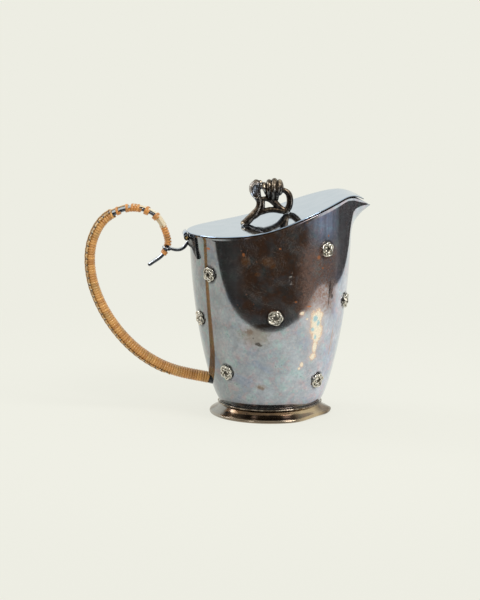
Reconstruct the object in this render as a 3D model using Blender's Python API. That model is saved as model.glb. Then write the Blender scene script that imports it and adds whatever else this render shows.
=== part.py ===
# Silver-plated cream jug with a hinged lid, applied rosettes and a cane-wrapped scroll handle.
# Metres, +Z up. The spout points to +X and the handle to -X; the jug stands on Z = 0.
# Every sub-part is its own object. The lid's pieces hang from an empty on the hinge axis.

import math

import bmesh
import bpy
from mathutils import Matrix, Vector

# ---- driving dimensions ----
GAP = 0.0003                    # clearance between pieces that touch
WALL = 0.0011                   # sheet thickness of the vessel
SIDES = 56                      # facets round the vessel, the lid and the foot

# Vessel: height, radius. The upper part is almost a cylinder, the lower part curves in to the foot.
VESSEL_PROFILE = [
    (0.0065, 0.0281), (0.0125, 0.0311), (0.0260, 0.0353),
    (0.0470, 0.0398), (0.0700, 0.0430), (0.0970, 0.0449), (0.1300, 0.0453),
]
SPOUT_START = 0.0970            # height where the spout begins to draw out
SPOUT_TIP_HEIGHT = 0.1165
SPOUT_REACH = 0.0108            # how far the tip stands out beyond the round vessel
SPOUT_HALF_ANGLE = math.radians(32)

# Lid: a sheet bent one way only, so its height depends on X alone.
LID_MIDLINE = [
    (-0.0480, 0.1030), (-0.0300, 0.1038), (-0.0123, 0.1060), (0.0011, 0.1094), (0.0146, 0.1144),
    (0.0280, 0.1195), (0.0370, 0.1227), (0.0420, 0.1237), (0.0470, 0.1229), (0.0535, 0.1196), (0.0580, 0.1172),
]
LID_RADIUS = 0.0456
LID_THICKNESS = 0.0010
LID_SPOUT_REACH = 0.0079
LID_SPOUT_HALF_ANGLE = math.radians(35)
LID_BACK_REACH = 0.0008         # the lid overhangs the rim a little more at the back
RIM_SPOUT_GAP = 0.0005          # the lid stands a little clear of the rim on both sides of the spout

# Foot: a spreading collar, with an old bend in its flange below the spout's near side.
FOOT_TOP = 0.0062
FOOT_RADIUS = 0.0340
FOOT_NECK = 0.0281
FOOT_SHEET = 0.0011
BEND_ANGLE = math.radians(-40)
BEND_WIDTH = math.radians(34)
BEND_DEPTH = 0.0018
BEND_LIFT = 0.0009

# Hinge: its axis runs along Y behind the rim.
HINGE_X = -0.0470
HINGE_Z = 0.1004
KNUCKLE_RADIUS = 0.0015
PIN_RADIUS = 0.0007
BORE_RADIUS = 0.0008
LID_KNUCKLE_HALF = 0.0065
HINGE_HALF = 0.0110
BRACKET_THICKNESS = 0.0006

# Handle: the middle of its rod, in the plane Y = 0.
HANDLE_ROUTE = [
    (-0.0310, 0.0190), (-0.0572, 0.0256), (-0.0759, 0.0374), (-0.0908, 0.0558), (-0.0990, 0.0762),
    (-0.0994, 0.0950), (-0.0921, 0.1096), (-0.0777, 0.1161), (-0.0639, 0.1117), (-0.0570, 0.0980),
    (-0.0596, 0.0902), (-0.0672, 0.0844),
]
ROD_RADII = [(0.0, 0.00205), (0.30, 0.0019), (0.50, 0.0017), (0.70, 0.0016), (0.78, 0.0013), (0.86, 0.0011),
             (0.94, 0.0010), (1.0, 0.0009)]
HANDLE_WIDTH = 2.0              # the handle's section is an oval, this much wider across than it is deep
CANE_THICKNESS = 0.0005
STRIP_THICKNESS = 0.0005
STRIP_HALF_WIDTH = 0.0012
TIE_WIRE_RADIUS = 0.0009

# Rosettes: count, first angle, step (degrees), mean height and rise towards the spout, row by row.
ROSETTE_ROWS = [
    (4, -143, 91, 0.0904, 0.0102),
    (5, -163, 72, 0.0606, 0.0050),
    (4, -136, 90, 0.0250, -0.0036),
]
ROSETTE_RADIUS = 0.0042
ROSETTE_HEIGHT = 0.0019

# ---- curves and outlines ----


def smooth_value(points, x):
    """Cubic through (x, y) points, with slopes taken from each point's neighbours."""
    x = min(max(x, points[0][0]), points[-1][0])
    last = len(points) - 1
    i = 0
    while i < last - 1 and x > points[i + 1][0]:
        i += 1

    def slope(k):
        before = points[max(k - 1, 0)]
        after = points[min(k + 1, last)]
        return (after[1] - before[1]) / (after[0] - before[0])

    (x0, y0), (x1, y1) = points[i], points[i + 1]
    span = x1 - x0
    t = (x - x0) / span
    rise = (2 * t ** 3 - 3 * t ** 2 + 1) * y0 + (3 * t ** 2 - 2 * t ** 3) * y1
    bend = (t ** 3 - 2 * t ** 2 + t) * slope(i) + (t ** 3 - t ** 2) * slope(i + 1)
    return rise + bend * span


def even_route(points, count):
    """Points at even distances along a smooth curve through (x, z) points, as vectors in the plane Y = 0."""
    lengths = [0.0]
    for a, b in zip(points, points[1:]):
        lengths.append(lengths[-1] + math.dist(a, b))
    xs = [(s, p[0]) for s, p in zip(lengths, points)]
    zs = [(s, p[1]) for s, p in zip(lengths, points)]
    fine = []
    for k in range(401):
        s = lengths[-1] * k / 400
        fine.append(Vector((smooth_value(xs, s), 0.0, smooth_value(zs, s))))
    run = [0.0]
    for a, b in zip(fine, fine[1:]):
        run.append(run[-1] + (b - a).length)
    route = []
    j = 0
    for k in range(count):
        target = run[-1] * k / (count - 1)
        while j < len(fine) - 2 and run[j + 1] < target:
            j += 1
        t = (target - run[j]) / (run[j + 1] - run[j])
        route.append(fine[j].lerp(fine[j + 1], t))
    return route


def vessel_radius(angle, z):
    radius = smooth_value(VESSEL_PROFILE, z)
    height = min(max((z - SPOUT_START) / (SPOUT_TIP_HEIGHT - SPOUT_START), 0.0), 1.0)
    side = max(1.0 - abs(angle) / SPOUT_HALF_ANGLE, 0.0)
    return radius + SPOUT_REACH * height ** 2.6 * side ** 2.6


def lid_height(x):
    return smooth_value(LID_MIDLINE, x)


def lid_edge(angle):
    side = max(1.0 - abs(angle) / LID_SPOUT_HALF_ANGLE, 0.0)
    back = max(-math.cos(angle), 0.0)
    return LID_RADIUS + LID_SPOUT_REACH * side ** 2.2 + LID_BACK_REACH * back


def rim_height(angle):
    """Height of the vessel's rim: just below the lid's underside at that point of the outline."""
    z = 0.110
    for _ in range(12):
        x = vessel_radius(angle, z) * math.cos(angle)
        rise = min(max((x - 0.005) / 0.030, 0.0), 1.0)
        z = lid_height(x) - LID_THICKNESS - GAP - RIM_SPOUT_GAP * rise
    return z


def turn_angles(sides=SIDES):
    """Angles from -180 to 180 degrees, with one exactly on the spout."""
    return [math.tau * k / sides - math.pi for k in range(sides)]


def on_vessel(angle, z, out):
    """The point at that distance outside the vessel, square to its wall."""
    step = 0.0005
    slope = (vessel_radius(angle, z + step) - vessel_radius(angle, z - step)) / (2 * step)
    scale = 1.0 / math.sqrt(1.0 + slope * slope)
    radius = vessel_radius(angle, z) + out * scale
    return Vector((radius * math.cos(angle), radius * math.sin(angle), z - out * slope * scale))


# ---- mesh building ----


def material(name, color, roughness, metallic):
    found = bpy.data.materials.get(name)
    if found:
        return found
    made = bpy.data.materials.new(name)
    made.use_nodes = True
    shader = made.node_tree.nodes["Principled BSDF"]
    shader.inputs["Base Color"].default_value = (*color, 1.0)
    shader.inputs["Roughness"].default_value = roughness
    shader.inputs["Metallic"].default_value = metallic
    return made


def add_object(name, mesh, surface, parent, smooth_angle=35):
    mesh.materials.append(surface)
    mesh.shade_smooth()
    mesh.set_sharp_from_angle(angle=math.radians(smooth_angle))
    made = bpy.data.objects.new(name, mesh)
    bpy.context.scene.collection.objects.link(made)
    made.parent = parent
    return made


def outward_mesh(name, bm):
    """Ends a closed bmesh as a mesh whose faces point outwards."""
    bmesh.ops.recalc_face_normals(bm, faces=bm.faces)
    if bm.calc_volume(signed=True) < 0.0:
        bmesh.ops.reverse_faces(bm, faces=bm.faces)
    mesh = bpy.data.meshes.new(name)
    bm.to_mesh(mesh)
    bm.free()
    return mesh


def mesh_from_loops(name, loops, close_loops=False, fan_caps=False):
    """Joins loops of points with quads. close_loops joins the last loop to the first, as on a ring."""
    bm = bmesh.new()
    rows = [[bm.verts.new(point) for point in loop] for loop in loops]
    count = len(rows[0])
    pairs = list(zip(rows, rows[1:]))
    if close_loops:
        pairs.append((rows[-1], rows[0]))
    for row, following in pairs:
        for k in range(count):
            n = (k + 1) % count
            bm.faces.new((row[k], row[n], following[n], following[k]))
    if not close_loops:
        caps = [bm.faces.new(list(reversed(rows[0]))), bm.faces.new(rows[-1])]
        if fan_caps:
            bmesh.ops.poke(bm, faces=caps)
    return outward_mesh(name, bm)


def turned_mesh(name, section, sides=SIDES):
    """A ring turned about Z from a closed section of (radius, height) points."""
    loops = []
    for angle in turn_angles(sides):
        loops.append([(r * math.cos(angle), r * math.sin(angle), z) for r, z in section])
    return mesh_from_loops(name, loops, close_loops=True)


def route_frames(route):
    """Each point of a planar route with its direction and its outward side."""
    frames = []
    for k, point in enumerate(route):
        ahead = (route[min(k + 1, len(route) - 1)] - route[max(k - 1, 0)]).normalized()
        side = Vector((-ahead.z, 0.0, ahead.x))
        frames.append((point, ahead, side))
    return frames


def ring_at(frame, radius, sides, width=1.0):
    point, _, side = frame
    across = Vector((0.0, width, 0.0))
    loop = []
    for k in range(sides):
        turn = math.tau * k / sides
        loop.append(point + radius * (math.cos(turn) * side + math.sin(turn) * across))
    return loop


def rod_mesh(name, route, radii, sides=10, width=1.0):
    """A solid rod along a route, with flat ends."""
    loops = [ring_at(frame, radius, sides, width) for frame, radius in zip(route_frames(route), radii)]
    return mesh_from_loops(name, loops)


def sleeve_mesh(name, route, inner, outer, sides=12):
    """A hollow sleeve round the handle's rod, from its inner radii to its outer radii."""
    frames = route_frames(route)
    there = [ring_at(frame, radius, sides, HANDLE_WIDTH) for frame, radius in zip(frames, outer)]
    back = [ring_at(frame, radius, sides, HANDLE_WIDTH) for frame, radius in zip(frames, inner)]
    return mesh_from_loops(name, there + back[::-1], close_loops=True)


def cylinder_mesh(name, radius, depth, sides, matrix, hole=0.0):
    """A cylinder, or a tube when it has a hole, with its length along the matrix's Z axis."""
    section = [(radius, -depth / 2), (radius, depth / 2)]
    if hole:
        section += [(hole, depth / 2), (hole, -depth / 2)]
        mesh = turned_mesh(name, section, sides)
    else:
        loops = []
        for r, z in section:
            loops.append([(r * math.cos(a), r * math.sin(a), z) for a in turn_angles(sides)])
        mesh = mesh_from_loops(name, loops)
    mesh.transform(matrix)
    return mesh


def ball_mesh(name, center, radii):
    bm = bmesh.new()
    bmesh.ops.create_icosphere(bm, subdivisions=2, radius=1.0)
    bmesh.ops.transform(bm, matrix=Matrix.Translation(center) @ Matrix.Diagonal((*radii, 1.0)), verts=bm.verts)
    return outward_mesh(name, bm)


def helper(name, mesh, parent):
    """A cutter or a joining shape: it stays out of the model."""
    made = bpy.data.objects.new(name, mesh)
    bpy.context.scene.collection.objects.link(made)
    made.parent = parent
    made.hide_render = True
    made.display_type = "WIRE"
    return made


def add_boolean(target, other, operation):
    step = target.modifiers.new(other.name, "BOOLEAN")
    step.operation = operation
    step.solver = "EXACT"
    step.object = other


# ---- vessel, bottom, foot ----


def vessel_mesh(name, out, inner, levels):
    """The vessel's wall between two offsets from its outer surface, or a solid plug when inner is None."""
    loops = []
    angles = turn_angles()
    for level in levels:
        loop = []
        for angle in angles:
            z = VESSEL_PROFILE[0][0] + (rim_height(angle) - VESSEL_PROFILE[0][0]) * level
            radius = vessel_radius(angle, z) + out
            loop.append((radius * math.cos(angle), radius * math.sin(angle), z))
        loops.append(loop)
    if inner is None:
        return mesh_from_loops(name, loops, fan_caps=True)
    lining = []
    for loop in loops:
        lining_loop = []
        for x, y, z in loop:
            radius = math.hypot(x, y)
            scale = (radius - out + inner) / radius
            lining_loop.append((x * scale, y * scale, z))
        lining.append(lining_loop)
    return mesh_from_loops(name, loops + lining[::-1], close_loops=True)


WALL_LEVELS = [0.0, 0.05, 0.12, 0.22, 0.36, 0.52, 0.68, 0.82, 0.88, 0.93, 0.97, 1.0]


def make_vessel(root, silver):
    mesh = vessel_mesh("vessel_body", 0.0, -WALL, WALL_LEVELS)
    return add_object("vessel_body", mesh, silver, root)


def make_bottom(root, silver):
    radius = VESSEL_PROFILE[0][1] - WALL - GAP
    matrix = Matrix.Translation((0.0, 0.0, VESSEL_PROFILE[0][0] + 0.0006))
    mesh = cylinder_mesh("vessel_bottom", radius, 0.0010, SIDES, matrix)
    return add_object("vessel_bottom", mesh, silver, root)


def foot_point(angle, r, z):
    """The bend pushes the flange in and up, and leaves a spur at its end towards the spout."""
    reach = max((r - FOOT_NECK) / (FOOT_RADIUS - FOOT_NECK), 0.0)
    offset = abs(angle - BEND_ANGLE) / BEND_WIDTH
    dent = math.cos(0.5 * math.pi * offset) ** 2 if offset < 1.0 else 0.0
    spur = math.exp(-((angle - BEND_ANGLE - BEND_WIDTH) / math.radians(9)) ** 2)
    r += reach * (0.0006 * spur - BEND_DEPTH * dent)
    return (r * math.cos(angle), r * math.sin(angle), z + BEND_LIFT * (dent + spur) * reach)


def make_foot(root, silver):
    neck = FOOT_NECK
    edge = FOOT_RADIUS
    outside = [
        (neck, FOOT_TOP), (neck + 0.0006, 0.0051), (neck + 0.0018, 0.0038), (neck + 0.0036, 0.0026),
        (edge - 0.0008, 0.0018), (edge, 0.0012), (edge, 0.0),
    ]
    inside = [
        (edge - 0.0026, 0.0), (neck + 0.0022, 0.0018), (neck + 0.0006, 0.0030),
        (neck - 0.0006, 0.0046), (neck - FOOT_SHEET, FOOT_TOP),
    ]
    loops = []
    for angle in turn_angles():
        loops.append([foot_point(angle, r, z) for r, z in outside + inside])
    mesh = mesh_from_loops("foot_ring", loops, close_loops=True)
    return add_object("foot_ring", mesh, silver, root)


def make_bead(root, silver):
    """The wire that covers the joint between the vessel and its foot."""
    radius = 0.00042
    middle = FOOT_NECK + GAP + radius + 0.0001
    section = []
    for k in range(6):
        turn = math.tau * k / 6
        section.append((middle + radius * math.cos(turn), FOOT_TOP + 0.0001 + radius * math.sin(turn)))
    return add_object("foot_bead", turned_mesh("foot_bead", section), silver, root)


# ---- rosettes ----


def rosette_mesh(name, angle, height):
    """A low ring of eight lobes that follows the vessel's wall."""
    rim = 16
    section = [(1.0, 0.0), (0.92, 0.75), (0.68, 1.0), (0.42, 0.45), (0.36, 0.0)]
    loops = []
    for k in range(rim):
        turn = math.tau * k / rim
        lobe = 1.0 if k % 2 == 0 else 0.88
        loop = []
        for r, h in section:
            across = ROSETTE_RADIUS * r * lobe * math.cos(turn)
            up = ROSETTE_RADIUS * r * lobe * math.sin(turn)
            local = angle + across / vessel_radius(angle, height)
            loop.append(on_vessel(local, height + up, GAP + ROSETTE_HEIGHT * h))
        loops.append(loop)
    return mesh_from_loops(name, loops, close_loops=True)


def make_rosettes(root, cast):
    made = []
    for count, first, step, mean, rise in ROSETTE_ROWS:
        for k in range(count):
            angle = math.radians(first + step * k)
            angle = math.atan2(math.sin(angle), math.cos(angle))
            height = mean + rise * math.cos(angle)
            name = f"rosette_{len(made) + 1:02d}"
            made.append(add_object(name, rosette_mesh(name, angle, height), cast, root, 60))
    return made


# ---- lid ----


def make_lid(pivot, offset, silver):
    """The lid's sheet. Its rings follow the outline inwards to the middle."""
    shares = [1.0, 0.8, 0.6, 0.4, 0.2]
    bm = bmesh.new()
    faces = []
    for drop in (0.0, LID_THICKNESS):
        rows = []
        for share in shares:
            row = []
            for angle in turn_angles():
                radius = lid_edge(angle) * share
                x = radius * math.cos(angle)
                row.append(bm.verts.new((x, radius * math.sin(angle), lid_height(x) - drop)))
            rows.append(row)
        middle = bm.verts.new((0.0, 0.0, lid_height(0.0) - drop))
        faces.append((rows, middle))
    for rows, middle in faces:
        for row, following in zip(rows, rows[1:]):
            for k in range(SIDES):
                n = (k + 1) % SIDES
                bm.faces.new((row[k], row[n], following[n], following[k]))
        for k in range(SIDES):
            bm.faces.new((rows[-1][k], rows[-1][(k + 1) % SIDES], middle))
    top, under = faces[0][0][0], faces[1][0][0]
    for k in range(SIDES):
        n = (k + 1) % SIDES
        bm.faces.new((top[k], top[n], under[n], under[k]))
    mesh = outward_mesh("lid_plate", bm)
    mesh.transform(Matrix.Translation(offset))
    return add_object("lid_plate", mesh, silver, pivot)


# Finial: its two fixings on the lid, and the routes of its stems as (x, z, radius).
FIXING_X = [-0.0131, 0.0089]
REAR_STEM = [
    (-0.0144, 0.1066, 0.0023), (-0.0116, 0.1092, 0.0020), (-0.0082, 0.1124, 0.0016), (-0.0060, 0.1158, 0.0014),
    (-0.0058, 0.1188, 0.0013), (-0.0071, 0.1215, 0.0017), (-0.0085, 0.1242, 0.0024), (-0.0085, 0.1272, 0.0030),
    (-0.0076, 0.1290, 0.0022),
]
UPPER_STEM = [(-0.0062, 0.1188, 0.0010), (-0.0025, 0.1200, 0.0011), (0.0012, 0.1193, 0.0015),
              (0.0040, 0.1170, 0.0013), (0.0070, 0.1142, 0.0012), (0.0092, 0.1132, 0.0010)]
LOWER_STEM = [(-0.0085, 0.1118, 0.0010), (-0.0040, 0.1136, 0.0011), (0.0010, 0.1142, 0.0012),
              (0.0055, 0.1140, 0.0012), (0.0095, 0.1130, 0.0011)]
LOOP_STEM = [(0.0050, 0.1258, 0.0012), (0.0082, 0.1253, 0.0013), (0.0104, 0.1232, 0.0013), (0.0112, 0.1194, 0.0014),
             (0.0106, 0.1158, 0.0014), (0.0094, 0.1136, 0.0013), (0.0088, 0.1131, 0.0011)]


def stem_mesh(name, stem, offset):
    points = even_route([(x, z) for x, z, _ in stem], 2 * len(stem) - 1)
    lengths = [(k / (len(stem) - 1), row[2]) for k, row in enumerate(stem)]
    radii = [smooth_value(lengths, k / (len(points) - 1)) for k in range(len(points))]
    mesh = rod_mesh(name, points, radii, sides=8)
    mesh.transform(Matrix.Translation(offset))
    return mesh


def make_finial(pivot, offset, cast):
    """A cast spray: a ribbed bud and a calyx on branching stems, standing on two feet."""
    finial = add_object("lid_finial", stem_mesh("lid_finial", REAR_STEM, offset), cast, pivot, 50)
    for name, stem in (("upper_stem", UPPER_STEM), ("lower_stem", LOWER_STEM), ("loop_stem", LOOP_STEM)):
        add_boolean(finial, helper(name, stem_mesh(name, stem, offset), pivot), "UNION")
    bud = ball_mesh("bud", offset + Vector((0.0013, 0.0, 0.1256)), (0.0061, 0.0046, 0.0062))
    add_boolean(finial, helper("bud", bud, pivot), "UNION")
    tip = ball_mesh("calyx_tip", offset + Vector((-0.0063, 0.0, 0.1297)), (0.0016, 0.0015, 0.0013))
    add_boolean(finial, helper("calyx_tip", tip, pivot), "UNION")
    foot = ball_mesh("front_foot", offset + Vector((FIXING_X[1], 0.0, 0.1128)), (0.0014, 0.0015, 0.0014))
    add_boolean(finial, helper("front_foot", foot, pivot), "UNION")
    sole = vessel_lid_slab(offset)
    add_boolean(finial, helper("finial_sole", sole, pivot), "DIFFERENCE")
    return finial


def vessel_lid_slab(offset):
    """A slab that fills the space from below the lid up to a gap above its top."""
    loops = []
    for k in range(25):
        x = -0.024 + 0.002 * k
        top = lid_height(x) + GAP
        loops.append([(x, -0.01, top), (x, 0.01, top), (x, 0.01, top - 0.006), (x, -0.01, top - 0.006)])
    mesh = mesh_from_loops("finial_sole", loops)
    mesh.transform(Matrix.Translation(offset))
    return mesh


def make_fixings(pivot, offset, lid, brass):
    """Each foot of the finial is held by a stud through the lid and a nut below it."""
    for name, x in zip(("rear", "front"), FIXING_X):
        slope = (lid_height(x + 0.001) - lid_height(x - 0.001)) / 0.002
        tilt = Matrix.Rotation(-math.atan(slope), 4, "Y")
        at = Matrix.Translation(offset + Vector((x, 0.0, lid_height(x)))) @ tilt
        stud = cylinder_mesh("stud", 0.0007, 0.0028, 10, at @ Matrix.Translation((0.0, 0.0, -0.0014)))
        add_object(f"finial_stud_{name}", stud, brass, pivot)
        low = -LID_THICKNESS - GAP - 0.0006
        nut = cylinder_mesh("nut", 0.0020, 0.0012, 6, at @ Matrix.Translation((0.0, 0.0, low)), hole=0.0010)
        add_object(f"finial_nut_{name}", nut, brass, pivot, 20)
        bore = cylinder_mesh("bore", 0.0010, 0.0040, 10, at)
        add_boolean(lid, helper(f"bore_{name}", bore, pivot), "DIFFERENCE")


# ---- hinge ----


def hinge_tube(name, radius, hole, low, high, offset):
    middle = Vector((HINGE_X, (low + high) / 2, HINGE_Z)) + offset
    matrix = Matrix.Translation(middle) @ Matrix.Rotation(math.pi / 2, 4, "X")
    return cylinder_mesh(name, radius, high - low, 14, matrix, hole)


def make_leaf(pivot, offset, silver):
    """The lid's leaf: a strap behind the lid's edge that runs down round the middle knuckle."""
    strap_top = lid_height(-LID_RADIUS)
    outline = [
        (-KNUCKLE_RADIUS, 0.0), (-KNUCKLE_RADIUS, 0.0014), (-0.0011, 0.0022), (-0.0004, strap_top - HINGE_Z),
        (0.0003, strap_top - HINGE_Z), (0.0003, strap_top - HINGE_Z - LID_THICKNESS),
        (KNUCKLE_RADIUS * math.cos(0.9), KNUCKLE_RADIUS * math.sin(0.9)), (0.0, 0.0),
    ]
    loops = []
    for y in (-LID_KNUCKLE_HALF, LID_KNUCKLE_HALF):
        loops.append([Vector((HINGE_X + x, y, HINGE_Z + z)) + offset for x, z in outline])
    leaf = add_object("lid_hinge_leaf", mesh_from_loops("lid_hinge_leaf", loops), silver, pivot)
    barrel = hinge_tube("leaf_knuckle", KNUCKLE_RADIUS, 0.0, -LID_KNUCKLE_HALF, LID_KNUCKLE_HALF, offset)
    add_boolean(leaf, helper("leaf_knuckle", barrel, pivot), "UNION")
    bore = hinge_tube("leaf_bore", BORE_RADIUS, 0.0, -0.008, 0.008, offset)
    add_boolean(leaf, helper("leaf_bore", bore, pivot), "DIFFERENCE")
    return leaf


def make_body_knuckles(root, dark):
    zero = Vector((0.0, 0.0, 0.0))
    low = LID_KNUCKLE_HALF + GAP
    for name, start, end in (("near", -HINGE_HALF, -low), ("far", low, HINGE_HALF)):
        mesh = hinge_tube("knuckle", KNUCKLE_RADIUS, BORE_RADIUS, start, end, zero)
        add_object(f"hinge_knuckle_{name}", mesh, dark, root)


def make_pin(root, brass):
    end = HINGE_HALF + 0.0004
    mesh = hinge_tube("hinge_pin", PIN_RADIUS, 0.0, -end, end, Vector((0.0, 0.0, 0.0)))
    return add_object("hinge_pin", mesh, brass, root)


def make_bracket(root, dark):
    """The plate behind the hinge. Two pointed legs spread down the vessel's back."""
    half = [
        (0.0000, 0.0948, 0.0974), (0.0035, 0.0948, 0.0974), (0.0066, 0.0948, 0.0974), (0.0069, 0.0948, 0.1008),
        (0.0100, 0.0947, 0.1010), (0.0117, 0.0945, 0.1012), (0.0135, 0.0928, 0.1012), (0.0152, 0.0914, 0.1012),
        (0.0164, 0.0905, 0.1010), (0.0172, 0.0900, 0.0965), (0.0179, 0.0896, 0.0925), (0.0184, 0.0894, 0.0902),
    ]
    columns = [(-y, low, high) for y, low, high in half[:0:-1]] + half
    loops = []
    for y, low, high in columns:
        angle = math.pi - y / VESSEL_PROFILE[5][1]
        near, far = GAP, GAP + BRACKET_THICKNESS
        loops.append([on_vessel(angle, low, near), on_vessel(angle, high, near),
                      on_vessel(angle, high, far), on_vessel(angle, low, far)])
    return add_object("hinge_bracket", mesh_from_loops("hinge_bracket", loops), dark, root)


# ---- handle ----


class Handle:
    """The rod's route at even steps, and the spans that its coverings take, as shares of its length."""

    def __init__(self):
        self.route = even_route(HANDLE_ROUTE, 97)
        self.last = len(self.route) - 1
        self.back = min(point.x for point in self.route)

    def radius(self, share):
        return smooth_value(ROD_RADII, share)

    def span(self, start, end, step=2):
        """Points and shares from start to end, at every few steps of the route."""
        shares = [start]
        k = math.ceil(start * self.last + 0.6)
        while k < end * self.last - 0.6:
            shares.append(k / self.last)
            k += step
        shares.append(end)
        points = []
        for share in shares:
            low = min(int(share * self.last), self.last - 1)
            points.append(self.route[low].lerp(self.route[low + 1], share * self.last - low))
        return points, shares


GRIP_START = 0.028
GRIP_END = 0.700
LOOSE_TURNS = [(0.710, 0.721), (0.738, 0.748), (0.752, 0.783), (0.795, 0.807), (0.826, 0.838)]
SCROLL_WRAP = (0.862, 0.925)
TIE_SHARE = 0.932
TAIL_WRAP = (0.939, 0.949)
STRIP_START = 0.150
STRIP_END = 0.697


def make_rod(root, handle, plug, dark):
    points, shares = handle.span(0.0, 1.0)
    radii = [handle.radius(share) for share in shares]
    mesh = rod_mesh("handle_rod", points, radii, width=HANDLE_WIDTH)
    rod = add_object("handle_rod", mesh, dark, root)
    add_boolean(rod, plug, "DIFFERENCE")
    return rod


def make_wraps(root, handle, cane):
    """The cane is close wound up to the top of the scroll, and what is left beyond it is loose turns."""
    spans = [("cane_wrap_grip", GRIP_START, GRIP_END)]
    for k, (start, end) in enumerate(LOOSE_TURNS):
        spans.append((f"cane_turn_{k + 1}", start, end))
    spans.append(("cane_wrap_scroll", *SCROLL_WRAP))
    spans.append(("cane_wrap_tail", *TAIL_WRAP))
    for name, start, end in spans:
        points, shares = handle.span(start, end, 3)
        inner = [handle.radius(share) + GAP for share in shares]
        outer = [radius + CANE_THICKNESS for radius in inner]
        add_object(name, sleeve_mesh(name, points, inner, outer, 10), cane, root)


def make_strip(root, handle, cane):
    """The lengthwise cane that lies along the outer side of the grip."""
    points, shares = handle.span(STRIP_START, STRIP_END, 3)
    loops = []
    for (point, _, side), share in zip(route_frames(points), shares):
        low = handle.radius(share) + GAP + CANE_THICKNESS + GAP
        across = Vector((0.0, STRIP_HALF_WIDTH, 0.0))
        middle = point + side * low
        top = point + side * (low + STRIP_THICKNESS)
        loops.append([middle - across, middle + across, top + across * 0.6, top - across * 0.6])
    return add_object("cane_spine", mesh_from_loops("cane_spine", loops), cane, root)


def make_socket(root, handle, plug, dark):
    """The collar at the grip's lower end, against the vessel."""
    points, shares = handle.span(0.0, GRIP_START - 0.002)
    inner = [handle.radius(share) + GAP for share in shares]
    outer = [radius + 0.0009 for radius in inner]
    socket = add_object("handle_socket", sleeve_mesh("handle_socket", points, inner, outer, 14), dark, root)
    add_boolean(socket, plug, "DIFFERENCE")
    return socket


def make_tie_wire(root, handle, dark):
    """A wire ring round the scroll's end, held by a sagging wire to the hinge bracket."""
    low = min(int(TIE_SHARE * handle.last), handle.last - 1)
    center = handle.route[low].lerp(handle.route[low + 1], TIE_SHARE * handle.last - low)
    ahead = (handle.route[low + 1] - handle.route[low]).normalized()
    side = Vector((-ahead.z, 0.0, ahead.x))
    middle = handle.radius(TIE_SHARE) + GAP + TIE_WIRE_RADIUS
    loops = []
    for k in range(20):
        turn = math.tau * k / 20
        out = math.cos(turn) * side + math.sin(turn) * Vector((0.0, 1.0, 0.0))
        across = Vector((0.0, (HANDLE_WIDTH - 1.0) * middle * math.sin(turn), 0.0))
        loop = []
        for j in range(8):
            roll = math.tau * j / 8
            loop.append(center + across + out * (middle + TIE_WIRE_RADIUS * math.cos(roll))
                        + ahead * (TIE_WIRE_RADIUS * math.sin(roll)))
        loops.append(loop)
    wire = add_object("handle_tie_wire", mesh_from_loops("handle_tie_wire", loops, close_loops=True), dark, root)
    near = center.x + middle
    end = (-VESSEL_PROFILE[5][1] - GAP - BRACKET_THICKNESS - 2 * GAP, 0.0962)
    points = even_route([(near, center.z), ((near + end[0]) / 2, center.z - 0.0008), end], 9)
    arm = rod_mesh("tie_arm", points, [TIE_WIRE_RADIUS] * len(points), 8)
    add_boolean(wire, helper("tie_arm", arm, root), "UNION")
    return wire


# ---- assembly ----


def clear_scene():
    for old in list(bpy.data.objects):
        bpy.data.objects.remove(old, do_unlink=True)


def add_empty(name, location, parent=None):
    empty = bpy.data.objects.new(name, None)
    bpy.context.scene.collection.objects.link(empty)
    empty.parent = parent
    empty.location = location
    return empty


def main():
    clear_scene()
    silver = material("tarnished_silver", (0.60, 0.62, 0.66), 0.18, 1.0)
    lid_silver = material("lid_silver", (0.72, 0.75, 0.78), 0.14, 1.0)
    foot_silver = material("foot_silver", (0.42, 0.37, 0.30), 0.25, 1.0)
    cast = material("cast_silver", (0.40, 0.38, 0.35), 0.30, 1.0)
    dark = material("blackened_metal", (0.06, 0.06, 0.07), 0.45, 1.0)
    brass = material("brass", (0.55, 0.42, 0.18), 0.35, 1.0)
    cane = material("cane", (0.62, 0.36, 0.14), 0.50, 0.0)

    handle = Handle()
    wrapped = handle.radius(0.5) + 2 * GAP + CANE_THICKNESS + STRIP_THICKNESS
    spout_tip = vessel_radius(0.0, rim_height(0.0))
    root = add_empty("jug_axis", (-(handle.back - wrapped + spout_tip) / 2, 0.0, 0.0))
    hinge = Vector((HINGE_X, 0.0, HINGE_Z))
    pivot = add_empty("lid_hinge_axis", hinge, root)
    plug = helper("vessel_plug", vessel_mesh("vessel_plug", GAP, None, WALL_LEVELS[:6]), root)

    make_vessel(root, silver)
    make_bottom(root, silver)
    make_foot(root, foot_silver)
    make_bead(root, foot_silver)
    make_rosettes(root, cast)
    lid = make_lid(pivot, -hinge, lid_silver)
    make_finial(pivot, -hinge, cast)
    make_fixings(pivot, -hinge, lid, brass)
    make_leaf(pivot, -hinge, lid_silver)
    make_body_knuckles(root, dark)
    make_pin(root, brass)
    make_bracket(root, dark)
    make_rod(root, handle, plug, dark)
    make_socket(root, handle, plug, dark)
    make_wraps(root, handle, cane)
    make_strip(root, handle, cane)
    make_tie_wire(root, handle, dark)


main()
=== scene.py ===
import math

import bmesh
import bpy
from mathutils import Matrix, Vector, noise


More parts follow.
